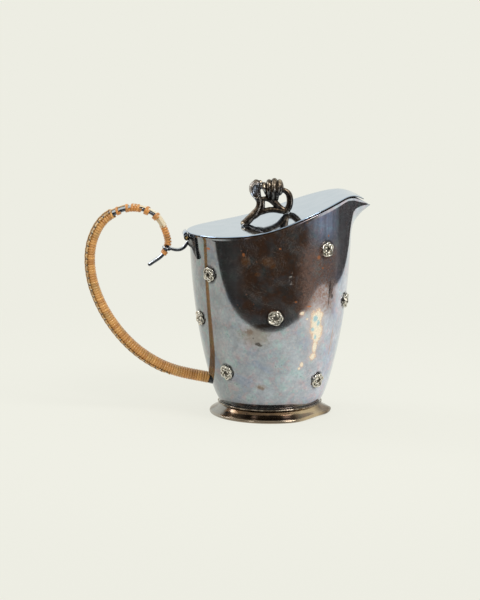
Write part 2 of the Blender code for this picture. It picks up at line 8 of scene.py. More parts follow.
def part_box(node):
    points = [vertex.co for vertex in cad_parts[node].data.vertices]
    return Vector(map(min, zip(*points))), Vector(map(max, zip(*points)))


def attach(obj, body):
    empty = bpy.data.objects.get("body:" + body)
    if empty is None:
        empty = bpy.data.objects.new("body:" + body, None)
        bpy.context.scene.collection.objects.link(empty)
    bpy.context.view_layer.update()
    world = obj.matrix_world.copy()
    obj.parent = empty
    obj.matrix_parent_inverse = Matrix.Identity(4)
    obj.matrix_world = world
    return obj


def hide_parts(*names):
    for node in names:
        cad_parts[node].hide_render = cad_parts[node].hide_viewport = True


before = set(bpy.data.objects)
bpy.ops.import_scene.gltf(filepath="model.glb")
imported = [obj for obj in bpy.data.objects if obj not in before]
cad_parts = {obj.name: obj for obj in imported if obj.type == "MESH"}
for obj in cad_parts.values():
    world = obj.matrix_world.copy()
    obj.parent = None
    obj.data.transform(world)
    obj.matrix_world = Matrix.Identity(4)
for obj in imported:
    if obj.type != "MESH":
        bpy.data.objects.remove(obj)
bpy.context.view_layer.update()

beadLow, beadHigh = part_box("foot_bead")
axisX = (beadLow.x + beadHigh.x) / 2  # the jug is turned about this upright line
toAxis = Matrix.Translation((axisX, 0.0, 0.0))
crosswise = Vector((0.0, 1.0, 0.0))  # along the hinge
markRadius = 0.041  # marks on the wall are sized as if it were a cylinder this wide
print("frame loaded, jug axis at", round(axisX, 4))


# ---- node trees written as expressions ----

class Value:
    # one output socket; arithmetic on it adds Math nodes to its tree
    def __init__(self, tree, socket):
        self.tree = tree
        self.socket = socket

    def output(self, name):
        return Value(self.tree, self.socket.node.outputs[name])

    def maths(self, operation, *others):
        return self.tree.maths(operation, self, *others)

    def __add__(self, other):
        return self.tree.maths("ADD", self, other)

    def __sub__(self, other):
        return self.tree.maths("SUBTRACT", self, other)

    def __mul__(self, other):
        return self.tree.maths("MULTIPLY", self, other)

    def __truediv__(self, other):
        return self.tree.maths("DIVIDE", self, other)

    def __rsub__(self, other):
        return self.tree.maths("SUBTRACT", other, self)

    def __rtruediv__(self, other):
        return self.tree.maths("DIVIDE", other, self)

    __radd__ = __add__
    __rmul__ = __mul__

    def between(self, low, high, start=0.0, end=1.0):
        # eases from start to end as the value goes from low to high
        return self.tree.node("ShaderNodeMapRange", {"interpolation_type": "SMOOTHSTEP"},
                              {"Value": self, "From Min": low, "From Max": high, "To Min": start, "To Max": end})

    def vector(self, operation, *others):
        return self.tree.node("ShaderNodeVectorMath", {"operation": operation}, dict(enumerate((self, *others))))

    def scaled(self, amount):
        return self.tree.node("ShaderNodeVectorMath", {"operation": "SCALE"}, {0: self, "Scale": amount})


class Tree:
    def __init__(self, nodeTree):
        self.nodeTree = nodeTree

    def feed(self, socket, value):
        if isinstance(value, Value):
            self.nodeTree.links.new(value.socket, socket)
        elif socket.type == "RGBA" and len(value) == 3:
            socket.default_value = (*value, 1.0)
        else:
            socket.default_value = value

    def node(self, kind, settings=None, values=None, output=0):
        made = self.nodeTree.nodes.new(kind)
        for name, setting in (settings or {}).items():
            if name == "stops":
                self.setStops(made.color_ramp, setting)
            else:
                setattr(made, name, setting)
        for name, value in (values or {}).items():
            self.feed(made.inputs[name], value)
        return Value(self, made.outputs[output])

    def setStops(self, ramp, stops):
        while len(ramp.elements) < len(stops):
            ramp.elements.new(1.0)
        for element, (place, color) in zip(ramp.elements, stops):
            element.position = place
            element.color = (*color, 1.0)

    def maths(self, operation, *terms):
        return self.node("ShaderNodeMath", {"operation": operation}, dict(enumerate(terms)))

    def mix(self, factor, first, second, blend="MIX"):
        return self.node("ShaderNodeMix", {"data_type": "RGBA", "blend_type": blend},
                         {0: factor, 6: first, 7: second}, 2)

    def combine(self, x, y, z):
        return self.node("ShaderNodeCombineXYZ", None, {"X": x, "Y": y, "Z": z})


class Finish(Tree):
    # a surface material; point is the place in the object, in metres
    def __init__(self, name):
        self.material = bpy.data.materials.new(name)
        self.material.use_nodes = True
        super().__init__(self.material.node_tree)
        self.nodeTree.nodes.clear()
        self.point = self.node("ShaderNodeTexCoord", output="Object")

    def placed(self, location=(0, 0, 0), turn=(0, 0, 0), scale=(1, 1, 1)):
        return self.node("ShaderNodeMapping", {"vector_type": "TEXTURE"},
                         {"Vector": self.point, "Location": location, "Rotation": turn, "Scale": scale})

    def cloud(self, scale, detail=3.0, roughness=0.55, distortion=0.0, at=None):
        return self.node("ShaderNodeTexNoise", None, {"Vector": at or self.point, "Scale": scale, "Detail": detail,
                         "Roughness": roughness, "Distortion": distortion}, "Fac")

    def spots(self, count, low, high, **place):
        # round spots scattered through the piece, count to the metre
        near = self.node("ShaderNodeTexVoronoi", None, {"Vector": self.placed(**place), "Scale": count}, "Distance")
        return near.between(low, high, 1.0, 0.0)

    def attribute(self, name):
        return self.node("ShaderNodeAttribute", {"attribute_name": name}, output="Fac")

    def bump(self, height, distance, strength):
        return self.node("ShaderNodeBump", None, {"Height": height, "Distance": distance, "Strength": strength})

    def layered(self, color, *layers):
        # each layer is a mask and a tone, laid over the ones before it
        for mask, tone in layers:
            color = self.mix(mask, color, tone)
        return color

    def roundJug(self):
        # the heading round the jug's axis, the place's X, Y and Z from it, and the place itself
        place = self.placed(location=(axisX, 0.0, 0.0))
        parts = self.node("ShaderNodeSeparateXYZ", None, {0: place}, "X")
        return self.maths("ARCTAN2", parts.output("Y"), parts), parts, place

    def surface(self, **values):
        shader = self.node("ShaderNodeBsdfPrincipled", None,
                           {name.replace("_", " "): value for name, value in values.items()})
        self.end(shader)
        return self.material

    def end(self, shader):
        out = self.nodeTree.nodes.new("ShaderNodeOutputMaterial")
        self.nodeTree.links.new(shader.socket, out.inputs["Surface"])


class Recipe(Tree):
    # a Geometry Nodes tree with named inputs
    def __init__(self, name, inputs):
        super().__init__(bpy.data.node_groups.new(name, "GeometryNodeTree"))
        face = self.nodeTree.interface
        face.new_socket("Geometry", in_out="INPUT", socket_type="NodeSocketGeometry")
        for label, kind in inputs:
            face.new_socket(label, in_out="INPUT", socket_type="NodeSocket" + kind)
        face.new_socket("Geometry", in_out="OUTPUT", socket_type="NodeSocketGeometry")
        self.entry = self.nodeTree.nodes.new("NodeGroupInput")

    def asked(self, label):
        return Value(self, self.entry.outputs[label])

    def end(self, geometry):
        whole = self.node("GeometryNodeRealizeInstances", None, {"Geometry": geometry})
        covered = self.node("GeometryNodeSetMaterial", None, {"Geometry": whole, "Material": self.asked("Finish")})
        out = self.nodeTree.nodes.new("NodeGroupOutput")
        self.nodeTree.links.new(covered.socket, out.inputs["Geometry"])

    def make(self, name, base, **values):
        # runs the tree on a base curve or mesh and keeps the result as a plain mesh
        helper = newObject(name + "Base", base)
        modifier = helper.modifiers.new("recipe", "NODES")
        modifier.node_group = self.nodeTree
        wanted = {label.lower(): value for label, value in values.items()}
        for item in self.nodeTree.interface.items_tree:
            label = item.name.replace(" ", "").lower()
            if item.in_out == "INPUT" and label in wanted:
                modifier[item.identifier] = wanted[label]
        graph = bpy.context.evaluated_depsgraph_get()
        mesh = bpy.data.meshes.new_from_object(helper.evaluated_get(graph))
        bpy.data.objects.remove(helper)
        mesh.name = name
        return newObject(name, mesh)


# ---- curves, loops and meshes ----

def smoothValue(points, x):
    # cubic through (x, y) points, the same curve as the solid parts use
    x = min(max(x, points[0][0]), points[-1][0])
    last = len(points) - 1
    i = 0
    while i < last - 1 and x > points[i + 1][0]:
        i += 1

    def slope(k):
        before, after = points[max(k - 1, 0)], points[min(k + 1, last)]
        return (after[1] - before[1]) / (after[0] - before[0])

    (x0, y0), (x1, y1) = points[i], points[i + 1]
    span = x1 - x0
    t = (x - x0) / span
    rise = (2 * t ** 3 - 3 * t ** 2 + 1) * y0 + (3 * t ** 2 - 2 * t ** 3) * y1
    return rise + ((t ** 3 - 2 * t ** 2 + t) * slope(i) + (t ** 3 - t ** 2) * slope(i + 1)) * span


def runLengths(points):
    lengths = [0.0]
    for a, b in zip(points, points[1:]):
        lengths.append(lengths[-1] + math.dist(a, b))
    return lengths


def evenRoute(points, count):
    # points at even distances along a smooth curve through (x, z) points
    lengths = runLengths(points)
    xs = [(s, p[0]) for s, p in zip(lengths, points)]
    zs = [(s, p[1]) for s, p in zip(lengths, points)]
    fine = []
    for k in range(401):
        s = lengths[-1] * k / 400
        fine.append(Vector((smoothValue(xs, s), 0.0, smoothValue(zs, s))))
    run = [0.0]
    for a, b in zip(fine, fine[1:]):
        run.append(run[-1] + (b - a).length)
    route, j = [], 0
    for k in range(count):
        target = run[-1] * k / (count - 1)
        while j < len(fine) - 2 and run[j + 1] < target:
            j += 1
        route.append(fine[j].lerp(fine[j + 1], (target - run[j]) / (run[j + 1] - run[j])))
    return route


def turnAngles(sides):
    return [math.tau * k / sides - math.pi for k in range(sides)]


def circle(sides):
    # cosine and sine at even steps round a circle
    return [(math.cos(math.tau * k / sides), math.sin(math.tau * k / sides)) for k in range(sides)]


def newObject(name, data):
    made = bpy.data.objects.new(name, data)
    bpy.context.scene.collection.objects.link(made)
    return made


def addObject(name, mesh, finish, smoothAngle=40):
    mesh.materials.clear()
    mesh.materials.append(finish)
    mesh.shade_smooth()
    mesh.set_sharp_from_angle(angle=math.radians(smoothAngle))
    return newObject(name, mesh)


def setValues(mesh, name, values):
    mesh.attributes.new(name, "FLOAT", "POINT").data.foreach_set("value", values)


def meshFrom(name, bm, place=None):
    mesh = bpy.data.meshes.new(name)
    bm.to_mesh(mesh)
    bm.free()
    if place:
        mesh.transform(place)
    return mesh


def closedMesh(name, bm, place=None):
    bmesh.ops.recalc_face_normals(bm, faces=bm.faces)
    if bm.calc_volume(signed=True) < 0.0:
        bmesh.ops.reverse_faces(bm, faces=bm.faces)
    return meshFrom(name, bm, place)


def joinRows(bm, rows):
    count = len(rows[0])
    for row, following in zip(rows, rows[1:]):
        for k in range(count):
            n = (k + 1) % count
            bm.faces.new((row[k], row[n], following[n], following[k]))


def loopMesh(name, loops, closed=False, place=None):
    # joins loops of points with quads; closed joins the last loop to the first, else both ends are capped
    bm = bmesh.new()
    rows = [[bm.verts.new(point) for point in loop] for loop in loops]
    joinRows(bm, rows + rows[:1] if closed else rows)
    if not closed:
        bmesh.ops.poke(bm, faces=[bm.faces.new(list(reversed(rows[0]))), bm.faces.new(rows[-1])])
    return closedMesh(name, bm, place)


def tubeLoops(route, radii, sides, flat=1.0):
    # rings along a route, with domed ends
    loops = []
    last = len(route) - 1
    for k, point in enumerate(route):
        ahead = (route[min(k + 1, last)] - route[max(k - 1, 0)]).normalized()
        side = ahead.cross(crosswise).normalized()
        across = side.cross(ahead)
        before = [(-math.cos(t), math.sin(t)) for t in (0.25, 0.6, 1.0)] if k == 0 else []
        after = [(math.cos(t), math.sin(t)) for t in (1.0, 0.6, 0.25)] if k == last else []
        for shift, share in before + [(0.0, 1.0)] + after:
            r = radii[k] * share
            middle = point + ahead * shift * radii[k]
            loops.append([middle + side * r * c + across * r * flat * s for c, s in circle(sides)])
    return loops


def lathe(name, section, sides, place=None):
    loops = [[(r * math.cos(a), r * math.sin(a), z) for r, z in section] for a in turnAngles(sides)]
    return loopMesh(name, loops, closed=True, place=place)


def ride(piece, body, slot, *nodes):
    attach(piece, body)
    if nodes:
        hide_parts(*nodes)
    return piece


# ---- camera, floor, light ----

view = {
    "place": (-0.0965, -1.1024, 0.2470),   # from the jug's axis
    "toward": (0.0711, 0.9839, -0.1637),
    "lens": 80.1,
    "paper": (0.847, 0.847, 0.768),
    "lightStrips": [(-2.30, 0.085), (-0.95, 0.11)],  # heading from the jug and half width, in radians
    "sheetEdge": [  # where the pale sheet under the jug ends, from the jug's axis; the room beyond is dark
        (-2.50, 0.30), (-1.50, 0.12), (-0.63, -0.024), (-0.32, -0.078), (-0.171, -0.109), (-0.085, -0.128),
        (-0.010, -0.137), (0.062, -0.141), (0.176, -0.142), (0.220, -0.136), (0.262, -0.116), (0.290, -0.082),
        (0.300, -0.048), (0.292, -0.012), (0.262, 0.000), (0.258, 0.010), (0.303, 0.040), (0.322, 0.120),
        (0.345, 0.270), (0.363, 0.423), (0.370, 0.700), (0.380, 2.500),
        (2.500, 2.500), (2.500, -2.500), (-2.500, -2.500),
    ],
}


def makeCamera():
    data = bpy.data.cameras.new("camera")
    data.sensor_fit = "VERTICAL"
    data.sensor_height = 24.0
    data.lens = view["lens"]
    data.clip_start = 0.01
    data.clip_end = 50.0
    camera = newObject("camera", data)
    camera.location = Vector(view["place"]) + Vector((axisX, 0.0, 0.0))
    camera.rotation_mode = "QUATERNION"
    camera.rotation_quaternion = Vector(view["toward"]).to_track_quat("-Z", "Y")
    bpy.context.scene.camera = camera


def makeFloor():
    finish = Finish("palePaper")
    distance = finish.placed(location=(axisX, 0.0, 0.0)).vector("LENGTH").output("Value")
    paper = finish.node("ShaderNodeEmission", None, {"Color": view["paper"], "Strength": 1.0})
    matt = finish.node("ShaderNodeBsdfDiffuse", None, {"Color": (0.80, 0.80, 0.78)})
    share = distance.between(0.05, 0.40, 0.16, 0.0)
    finish.end(finish.node("ShaderNodeMixShader", None, {0: share, 1: paper, 2: matt}))
    mesh = bpy.data.meshes.new("floor")
    half = 30.0
    mesh.from_pydata([(-half, -half, 0), (half, -half, 0), (half, half, 0), (-half, half, 0)], [], [(0, 1, 2, 3)])
    addObject("floor", mesh, finish.material)


def makeRoomCard():
    # only reflections see it: the dark room in front of the sheet that the jug stands on
    finish = Finish("darkRoom")
    around, _, place = finish.roundJug()
    distance = place.vector("LENGTH").output("Value")
    bars = finish.cloud(7.0, 2.0, at=finish.combine(around, 0.0, 0.0))
    window = around.between(-0.95, -0.62) * (1.0 - around.between(-0.15, 0.35)) * distance.between(0.42, 0.85)
    tone = finish.mix(bars.between(0.45, 0.75), (0.020, 0.014, 0.011), (0.050, 0.046, 0.045))
    tone = finish.mix(window * bars.between(0.30, 0.60, 0.35, 1.0), tone, (0.30, 0.34, 0.42))
    finish.end(finish.node("ShaderNodeEmission", None, {"Color": tone, "Strength": 1.0}))
    bm = bmesh.new()
    bm.faces.new([bm.verts.new((x, y, 0.0006)) for x, y in view["sheetEdge"]])
    bmesh.ops.triangulate(bm, faces=bm.faces)
    hideFromAllButGloss(addObject("darkRoomCard", meshFrom("darkRoomCard", bm, toAxis), finish.material))


def makeRoomWall():
    # only reflections see it: the dark half of the room behind the viewer, paler towards the ceiling
    finish = Finish("roomWall")
    around, parts, _ = finish.roundJug()
    height = parts.output("Z")
    side = around.between(-3.00, -2.55) * (1.0 - around.between(-0.75, -0.30))
    dark = side * (1.0 - height.between(0.9, 2.3))
    window = around.between(-1.25, -1.05) * (1.0 - around.between(-0.85, -0.65)) * height.between(0.3, 0.6)
    shelf = finish.cloud(3.0, 2.0, at=finish.combine(around * 2.0, height * 0.4, 0.0)).between(0.45, 0.62)
    tone = finish.mix(shelf, (0.020, 0.016, 0.014), (0.085, 0.080, 0.078))
    tone = finish.mix(window, tone, (0.50, 0.58, 0.70))
    for turn, half in view["lightStrips"]:
        strip = (around - turn).maths("ABSOLUTE").between(half * 0.8, half, 1.0, 0.0)
        strip = strip * height.between(0.55, 0.65) * (1.0 - height.between(1.70, 1.85))
        tone = finish.mix(strip, tone, (3.6, 3.7, 3.9))
    tone = finish.mix(dark, view["paper"], tone)
    finish.end(finish.node("ShaderNodeEmission", None, {"Color": tone, "Strength": 1.0}))
    bm = bmesh.new()
    turns = [math.radians(-180 + 3 * k) for k in range(61)]
    far = 2.4
    rows = [[bm.verts.new((far * math.cos(turn), far * math.sin(turn), z)) for turn in turns] for z in (0.001, far)]
    for k in range(60):
        bm.faces.new((rows[0][k], rows[0][k + 1], rows[1][k + 1], rows[1][k]))
    hideFromAllButGloss(addObject("roomWall", meshFrom("roomWall", bm, toAxis), finish.material))


def hideFromAllButGloss(card):
    for sight in ("camera", "diffuse", "shadow", "transmission"):
        setattr(card, "visible_" + sight, False)


def makeLight(name, place, target, size, power, color):
    data = bpy.data.lights.new(name, "AREA")
    data.shape = "DISK"
    data.size = size
    data.energy = power
    data.color = color
    light = newObject(name, data)
    light.location = place
    light.rotation_mode = "QUATERNION"
    light.rotation_quaternion = (Vector(target) - Vector(place)).to_track_quat("-Z", "Y")


def makeStudio():
    scene = bpy.context.scene
    scene.view_settings.view_transform = "Standard"
    world = bpy.data.worlds.new("paleStudio")
    world.use_nodes = True
    background = world.node_tree.nodes["Background"]
    background.inputs["Color"].default_value = (*view["paper"], 1.0)
    background.inputs["Strength"].default_value = 1.0
    scene.world = world
    makeLight("keyLight", (0.75, -0.75, 1.05), (0.0, 0.0, 0.07), 0.55, 9.0, (1.0, 0.97, 0.92))
    makeLight("sideLight", (-0.9, 0.5, 0.8), (0.0, 0.0, 0.07), 0.5, 4.0, (0.93, 0.96, 1.0))
    makeFloor()
    makeRoomCard()
    makeRoomWall()
    makeCamera()
    print("camera, floor and light placed")


# ---- finishes ----

rosetteRows = [(4, -143, 91, 0.0904, 0.0102), (5, -163, 72, 0.0606, 0.0050), (4, -136, 90, 0.0250, -0.0036)]


def rosettePlaces():
    # angle round the jug and height of each rosette
    places = []
    for count, first, step, mean, rise in rosetteRows:
        for k in range(count):
            angle = math.radians(first + step * k)
            angle = math.atan2(math.sin(angle), math.cos(angle))
            places.append((angle, mean + rise * math.cos(angle)))
    return places


tarnish = {
    "roundTones": [  # tarnish tone with painted shade, darker round the back and left and lightest on the near right where the light falls; seen round the jug from the back, through the near side, to the spout and on
        (0.00, (0.28, 0.31, 0.33)), (0.08, (0.26, 0.28, 0.30)), (0.12, (0.29, 0.31, 0.33)), (0.20, (0.33, 0.36, 0.41)),
        (0.26, (0.39, 0.43, 0.48)), (0.34, (0.52, 0.56, 0.64)), (0.40, (0.58, 0.62, 0.74)), (0.60, (0.48, 0.53, 0.61)),
        (0.80, (0.34, 0.37, 0.40)), (1.00, (0.28, 0.31, 0.33)),
    ],
    "rose": (1.26, 0.97, 0.94), "teal": (0.84, 1.03, 0.95), "gold": (1.25, 0.98, 0.74), "slate": (0.86, 0.93, 1.08),
    "rust": (0.42, 0.13, 0.03), "wornRed": (0.30, 0.185, 0.155), "grime": (0.045, 0.032, 0.025),
    "crust": (0.90, 0.82, 0.68), "crustEdge": (0.80, 0.54, 0.38), "crustBlue": (0.34, 0.60, 0.70),
    # places as (angle in degrees, height, half width, half height)
    "stains": [(-106.0, 0.0500, 0.0085, 0.0062), (-103.5, 0.0205, 0.0034, 0.0016)],
    "nicks": [(-80.0, 0.0822, 0.0013, 0.0040)],
    "crusts": [(-57.5, 0.0585, 0.0042, 0.0056), (-55.5, 0.0495, 0.0038, 0.0058), (-57.8, 0.0540, 0.0038, 0.0050),
               (-56.5, 0.0425, 0.0017, 0.0042), (-57.0, 0.0372, 0.0026, 0.0022), (-70.5, 0.0624, 0.0015, 0.0015),
               (-67.0, 0.0330, 0.0011, 0.0014), (-69.0, 0.0310, 0.0009, 0.0008), (-66.0, 0.0590, 0.0008, 0.0006)],
    "blues": [(-58.5, 0.0585, 0.0019, 0.0018), (-60.5, 0.0530, 0.0015, 0.0012), (-55.5, 0.0560, 0.0012, 0.0020),
              (-57.0, 0.0480, 0.0008, 0.0014)],
    "browns": [(-111.0, 0.0520, 0.0018, 0.0017), (-104.5, 0.0203, 0.0014, 0.0008), (-102.0, 0.0196, 0.0012, 0.0008),
               (-100.0, 0.0560, 0.0034, 0.0010)],
    "grimes": [(-104.5, 0.0455, 0.0016, 0.0009), (-103.0, 0.0447, 0.0014, 0.0005), (-108.0, 0.0488, 0.0004, 0.0004),
               (-46.5, 0.0740, 0.0007, 0.0048), (-43.0, 0.0700, 0.0008, 0.0012), (-46.5, 0.0700, 0.0004, 0.0060)],
    "rusts": [(-59.0, 0.0927, 0.0009, 0.0010), (-55.0, 0.0865, 0.0006, 0.0005), (-113.5, 0.0950, 0.0007, 0.0009),
              (-50.5, 0.1040, 0.0006, 0.0006), (-76.0, 0.0690, 0.0007, 0.0005), (-65.0, 0.0660, 0.0014, 0.0005),
              (-88.0, 0.0985, 0.0006, 0.0005), (-143.5, 0.0965, 0.0014, 0.0006)],
    "umbers": [(-96.8, 0.0915, 0.0034, 0.0022), (-93.0, 0.0895, 0.0015, 0.0018), (-112.5, 0.0915, 0.0022, 0.0026),
               (-104.0, 0.0845, 0.0015, 0.0010)],
    "streaks": [(-36.0, 0.0440, 0.0005, 0.0085), (-33.5, 0.0420, 0.0003, 0.0060)],
}


def platedSilver():
    # mirror-bright plate under a thin film of many-coloured tarnish, with crusts, stains and scratches; painted shade
    # darkens it round the back and left and towards the foot
    finish = Finish("tarnishedPlate")
    around, parts, _ = finish.roundJug()
    height = parts.output("Z")
    broad = finish.cloud(62.0, 4.0, 0.6, 0.5)
    patch = finish.cloud(150.0, 6.0, 0.68, 0.8)
    second = finish.cloud(185.0, 6.0, 0.66, 0.6, at=finish.placed(location=(0.31, 0.12, 0.23)))
    speck = finish.cloud(620.0, 5.0, 0.7, 0.4)
    fine = finish.cloud(1700.0, 4.0, 0.7)
    wander = (patch - 0.5) * 0.9 + (speck - 0.5) * 0.9

    def reachOf(places, ragged):
        # 1 along the ragged edge of the nearest mark of a kind, less inside it
        total = None
        for degrees, z, wide, tall in places:
            x = (around - math.radians(degrees)) * markRadius / wide
            y = (height - z) / tall
            reach = (x * x + y * y).maths("SQRT") + wander * ragged
            total = reach if total is None else total.maths("MINIMUM", reach)
        return total

    def marks(kind, ragged, soft=0.25):
        return reachOf(tarnish[kind], ragged).between(1.0 - soft, 1.0 + soft, 1.0, 0.0)

    white = (1.0, 1.0, 1.0)
    # painted shade and light round the jug: the base colour is darker at the back and left, lighter on the near right
    color = finish.node("ShaderNodeValToRGB", {"stops": tarnish["roundTones"]},
                        {"Fac": around / math.tau + 0.5}, "Color")
    tint = finish.layered(
        white,
        (patch.between(0.46, 0.62) * broad.between(0.42, 0.60, 0.35, 1.0), tarnish["rose"]),
        (second.between(0.50, 0.64) * 0.8, tarnish["teal"]),
        (speck.between(0.56, 0.70) * 0.5, tarnish["gold"]),
        (broad.between(0.54, 0.66) * 0.7, tarnish["slate"]))
    color = finish.mix(1.0, color, tint, "MULTIPLY")
    shade = speck.between(0.30, 0.70, 0.88, 1.10) * second.between(0.35, 0.70, 0.90, 1.08)
    # painted reflection of the dark foot: the wall is darkened towards its lowest part
    shade = shade * height.between(0.0065, 0.0130, 0.52, 1.0) * broad.between(0.36, 0.60, 1.10, 0.90) * 1.05
    for angle, z in rosettePlaces():  # the wall is darkened in a ring round each rosette
        x = (around - angle) * markRadius
        ring = (x * x + (height - z) * (height - z)).maths("SQRT") + wander * 0.0007
        shade = shade * ring.between(0.0043, 0.0058, 0.30, 1.0)
    color = finish.mix(1.0, color, finish.combine(shade, shade, shade), "MULTIPLY")

    upper = (height + (broad - 0.5) * 0.030).between(0.056, 0.068)
    centre = (around + 1.60).maths("ABSOLUTE")
    brownFilm = upper * centre.between(0.35, 0.62, 1.0, 0.0) * patch.between(0.32, 0.56, 0.55, 1.0)
    film = finish.mix(second.between(0.45, 0.64), (0.150, 0.072, 0.034), (0.085, 0.066, 0.060))
    film = finish.mix(speck.between(0.50, 0.66) * 0.7, film, (0.25, 0.100, 0.032))
    color = finish.mix(brownFilm * 0.92, color, film)
    right = (around + 0.98).maths("ABSOLUTE").between(0.18, 0.40, 1.0, 0.0)
    redFilm = upper * right * height.between(0.094, 0.104, 1.0, 0.0) * speck.between(0.34, 0.60, 0.40, 1.0)
    color = finish.mix(redFilm, color, tarnish["wornRed"])
    rustSpecks = finish.spots(420.0, 0.10, 0.20, location=(0.07, 0.02, 0.05)) * upper * second.between(0.50, 0.62)
    rusts = marks("rusts", 1.2)
    umbers = marks("umbers", 2.2, 0.40)
    pits = finish.spots(430.0, 0.10, 0.20, location=(0.01, 0.04, 0.09), scale=(1.0, 1.0, 0.6))
    pits = pits * second.between(0.52, 0.62) * (1.0 - upper)
    color = finish.layered(
        color,
        (rustSpecks * 0.75, tarnish["rust"]), (rusts * 0.85, tarnish["rust"]), (umbers * 0.7, (0.20, 0.085, 0.025)),
        (reachOf(tarnish["stains"], 1.6).between(0.3, 1.5, 0.55, 0.0), (0.26, 0.19, 0.115)),
        (marks("browns", 2.2, 0.50) * 0.60, (0.15, 0.080, 0.038)), (pits * 0.65, tarnish["grime"]),
        (marks("streaks", 1.1, 0.40) * 0.55, (0.62, 0.30, 0.12)),
        (marks("grimes", 1.3, 0.35) * 0.85, tarnish["grime"]))

    crustReach = reachOf(tarnish["crusts"], 1.75)
    crust = crustReach.between(0.84, 1.12, 1.0, 0.0)
    crustBody = crustReach.between(0.62, 0.95, 1.0, 0.0)
    blue = reachOf(tarnish["blues"], 2.2).between(0.4, 1.3, 1.0, 0.0)
    color = finish.layered(
        color,
        (crustReach.between(0.9, 1.9, 0.55, 0.0), (0.66, 0.56, 0.54)), (crust * 0.92, tarnish["crustEdge"]),
        (crustBody * speck.between(0.25, 0.55, 0.70, 1.0), tarnish["crust"]),
        (blue * crust * 0.85, tarnish["crustBlue"]))

    scratches = None
    for turn, place, width in ((0.9, 0.01, 0.030), (-0.7, 0.02, 0.026), (0.25, 0.035, 0.022), (-1.25, 0.05, 0.018)):
        lines = finish.cloud(34.0, 2.0, 0.5, at=finish.placed(location=(place, place, place), turn=(0.0, turn, 0.0),
                                                              scale=(0.006, 1.0, 1.0)))
        hair = (lines - 0.5).maths("ABSOLUTE").between(0.0, width * 0.42, 1.0, 0.0)
        mask = finish.cloud(90.0 + 40.0 * place, 2.0, at=finish.placed(location=(turn, 0.0, place)))
        hair = hair * mask.between(0.50, 0.62)
        scratches = hair if scratches is None else scratches.maths("MAXIMUM", hair)
    nick = marks("nicks", 0.4, 0.5) * speck.between(0.56, 0.60)
    dust = finish.spots(800.0, 0.08, 0.16, location=(0.03, 0.05, 0.02)) * patch.between(0.50, 0.60)
    bare = (scratches * 0.50).maths("MAXIMUM", nick * 0.85).maths("MAXIMUM", dust * 0.40)
    color = finish.mix(bare, color, (0.78, 0.77, 0.76))

    haze = 0.055 + brownFilm * 0.10 + redFilm * 0.27 + rustSpecks * 0.25 + bare * 0.35 + fine.between(0.5, 0.8) * 0.03
    haze = (haze + umbers * 0.14 + crust * 0.55 + rusts * 0.35).maths("MINIMUM", 0.75)
    rough = fine.between(0.3, 0.8, 0.06, 0.13) + crust * 0.18 + brownFilm * 0.05
    return finish.surface(Base_Color=color, Metallic=1.0 - haze, Roughness=rough,
                          Normal=finish.bump(crustBody, 0.00006, 0.6))


def lidSilver():
    finish = Finish("lidPlate")
    veil = finish.cloud(120.0, 3.0, 0.5, 0.3)
    fine = finish.cloud(1400.0, 3.0, 0.6)
    edge = finish.attribute("edge")
    color = finish.mix(veil.between(0.35, 0.65), (0.40, 0.53, 0.72), (0.45, 0.57, 0.76))
    color = finish.mix(fine.between(0.62, 0.78) * 0.12, color, (0.45, 0.36, 0.28))
    # painted shade: the lower half of the lid's rim is darkened to stand for the shadowed gap between lid and body rim
    color = finish.mix(edge * veil.between(0.30, 0.55, 0.75, 1.0), color, (0.070, 0.050, 0.038))
    return finish.surface(Base_Color=color, Metallic=1.0 - edge * 0.1, Roughness=fine.between(0.3, 0.8, 0.05, 0.10))


def footSilver():
    # brown-gold tarnish in bands that run round the foot, with a painted highlight on the near right and a paler
    # painted left end
    finish = Finish("footPlate")
    around, parts, _ = finish.roundJug()
    reach = finish.combine(parts, parts.output("Y"), 0.0).vector("LENGTH").output("Value")
    bands = finish.cloud(1.0, 5.0, 0.65, 0.3, at=finish.combine(around.maths("SINE") * 2.6, reach * 900.0,
                                                               parts.output("Z") * 1400.0))
    patch = finish.cloud(170.0, 5.0, 0.65, 0.5)
    fine = finish.cloud(1500.0, 4.0, 0.65)
    color = finish.mix(patch.between(0.38, 0.62), (0.062, 0.042, 0.031), (0.165, 0.105, 0.062))
    color = finish.layered(
        color,
        (bands.between(0.46, 0.64) * 0.6, (0.25, 0.17, 0.10)),
        # painted highlight on the near right of the foot
        ((around + 0.85).maths("ABSOLUTE").between(0.12, 0.50, 0.80, 0.0), (0.66, 0.52, 0.34)),
        # painted highlight: the left end of the foot is paler, where it reflects the bright side
        ((around + 2.45).between(-0.35, 0.10, 0.70, 0.0) * around.between(-3.2, -3.0), (0.42, 0.43, 0.43)),
        (fine.between(0.52, 0.72) * 0.45, (0.060, 0.036, 0.022)),
        (reach.between(0.0331, 0.0338) * 0.35, (0.50, 0.44, 0.36)))
    return finish.surface(Base_Color=color, Metallic=0.97, Roughness=fine.between(0.3, 0.8, 0.12, 0.24),
                          Normal=finish.bump(patch, 0.00012, 0.35))


def beadSilver():
    finish = Finish("beadPlate")
    patch = finish.cloud(420.0, 4.0, 0.6)
    color = finish.mix(patch.between(0.40, 0.62), (0.15, 0.115, 0.085), (0.42, 0.36, 0.29))
    return finish.surface(Base_Color=color, Metallic=1.0, Roughness=patch.between(0.3, 0.7, 0.12, 0.22))


def castSilver():
    # polished on the highs, black in the hollows
    finish = Finish("castSilver")
    highs = finish.attribute("highs")
    grain = finish.cloud(1500.0, 4.0, 0.6)
    bright = (highs + (grain - 0.5) * 0.25).between(0.40, 0.66)
    color = finish.mix(bright, (0.030, 0.025, 0.022), (0.70, 0.67, 0.60))
    color = finish.mix(grain.between(0.55, 0.75) * 0.25, color, (0.24, 0.16, 0.10))
    return finish.surface(Base_Color=color, Metallic=0.98, Roughness=bright.between(0.0, 1.0, 0.42, 0.14),
                          Normal=finish.bump(grain, 0.00008, 0.5))


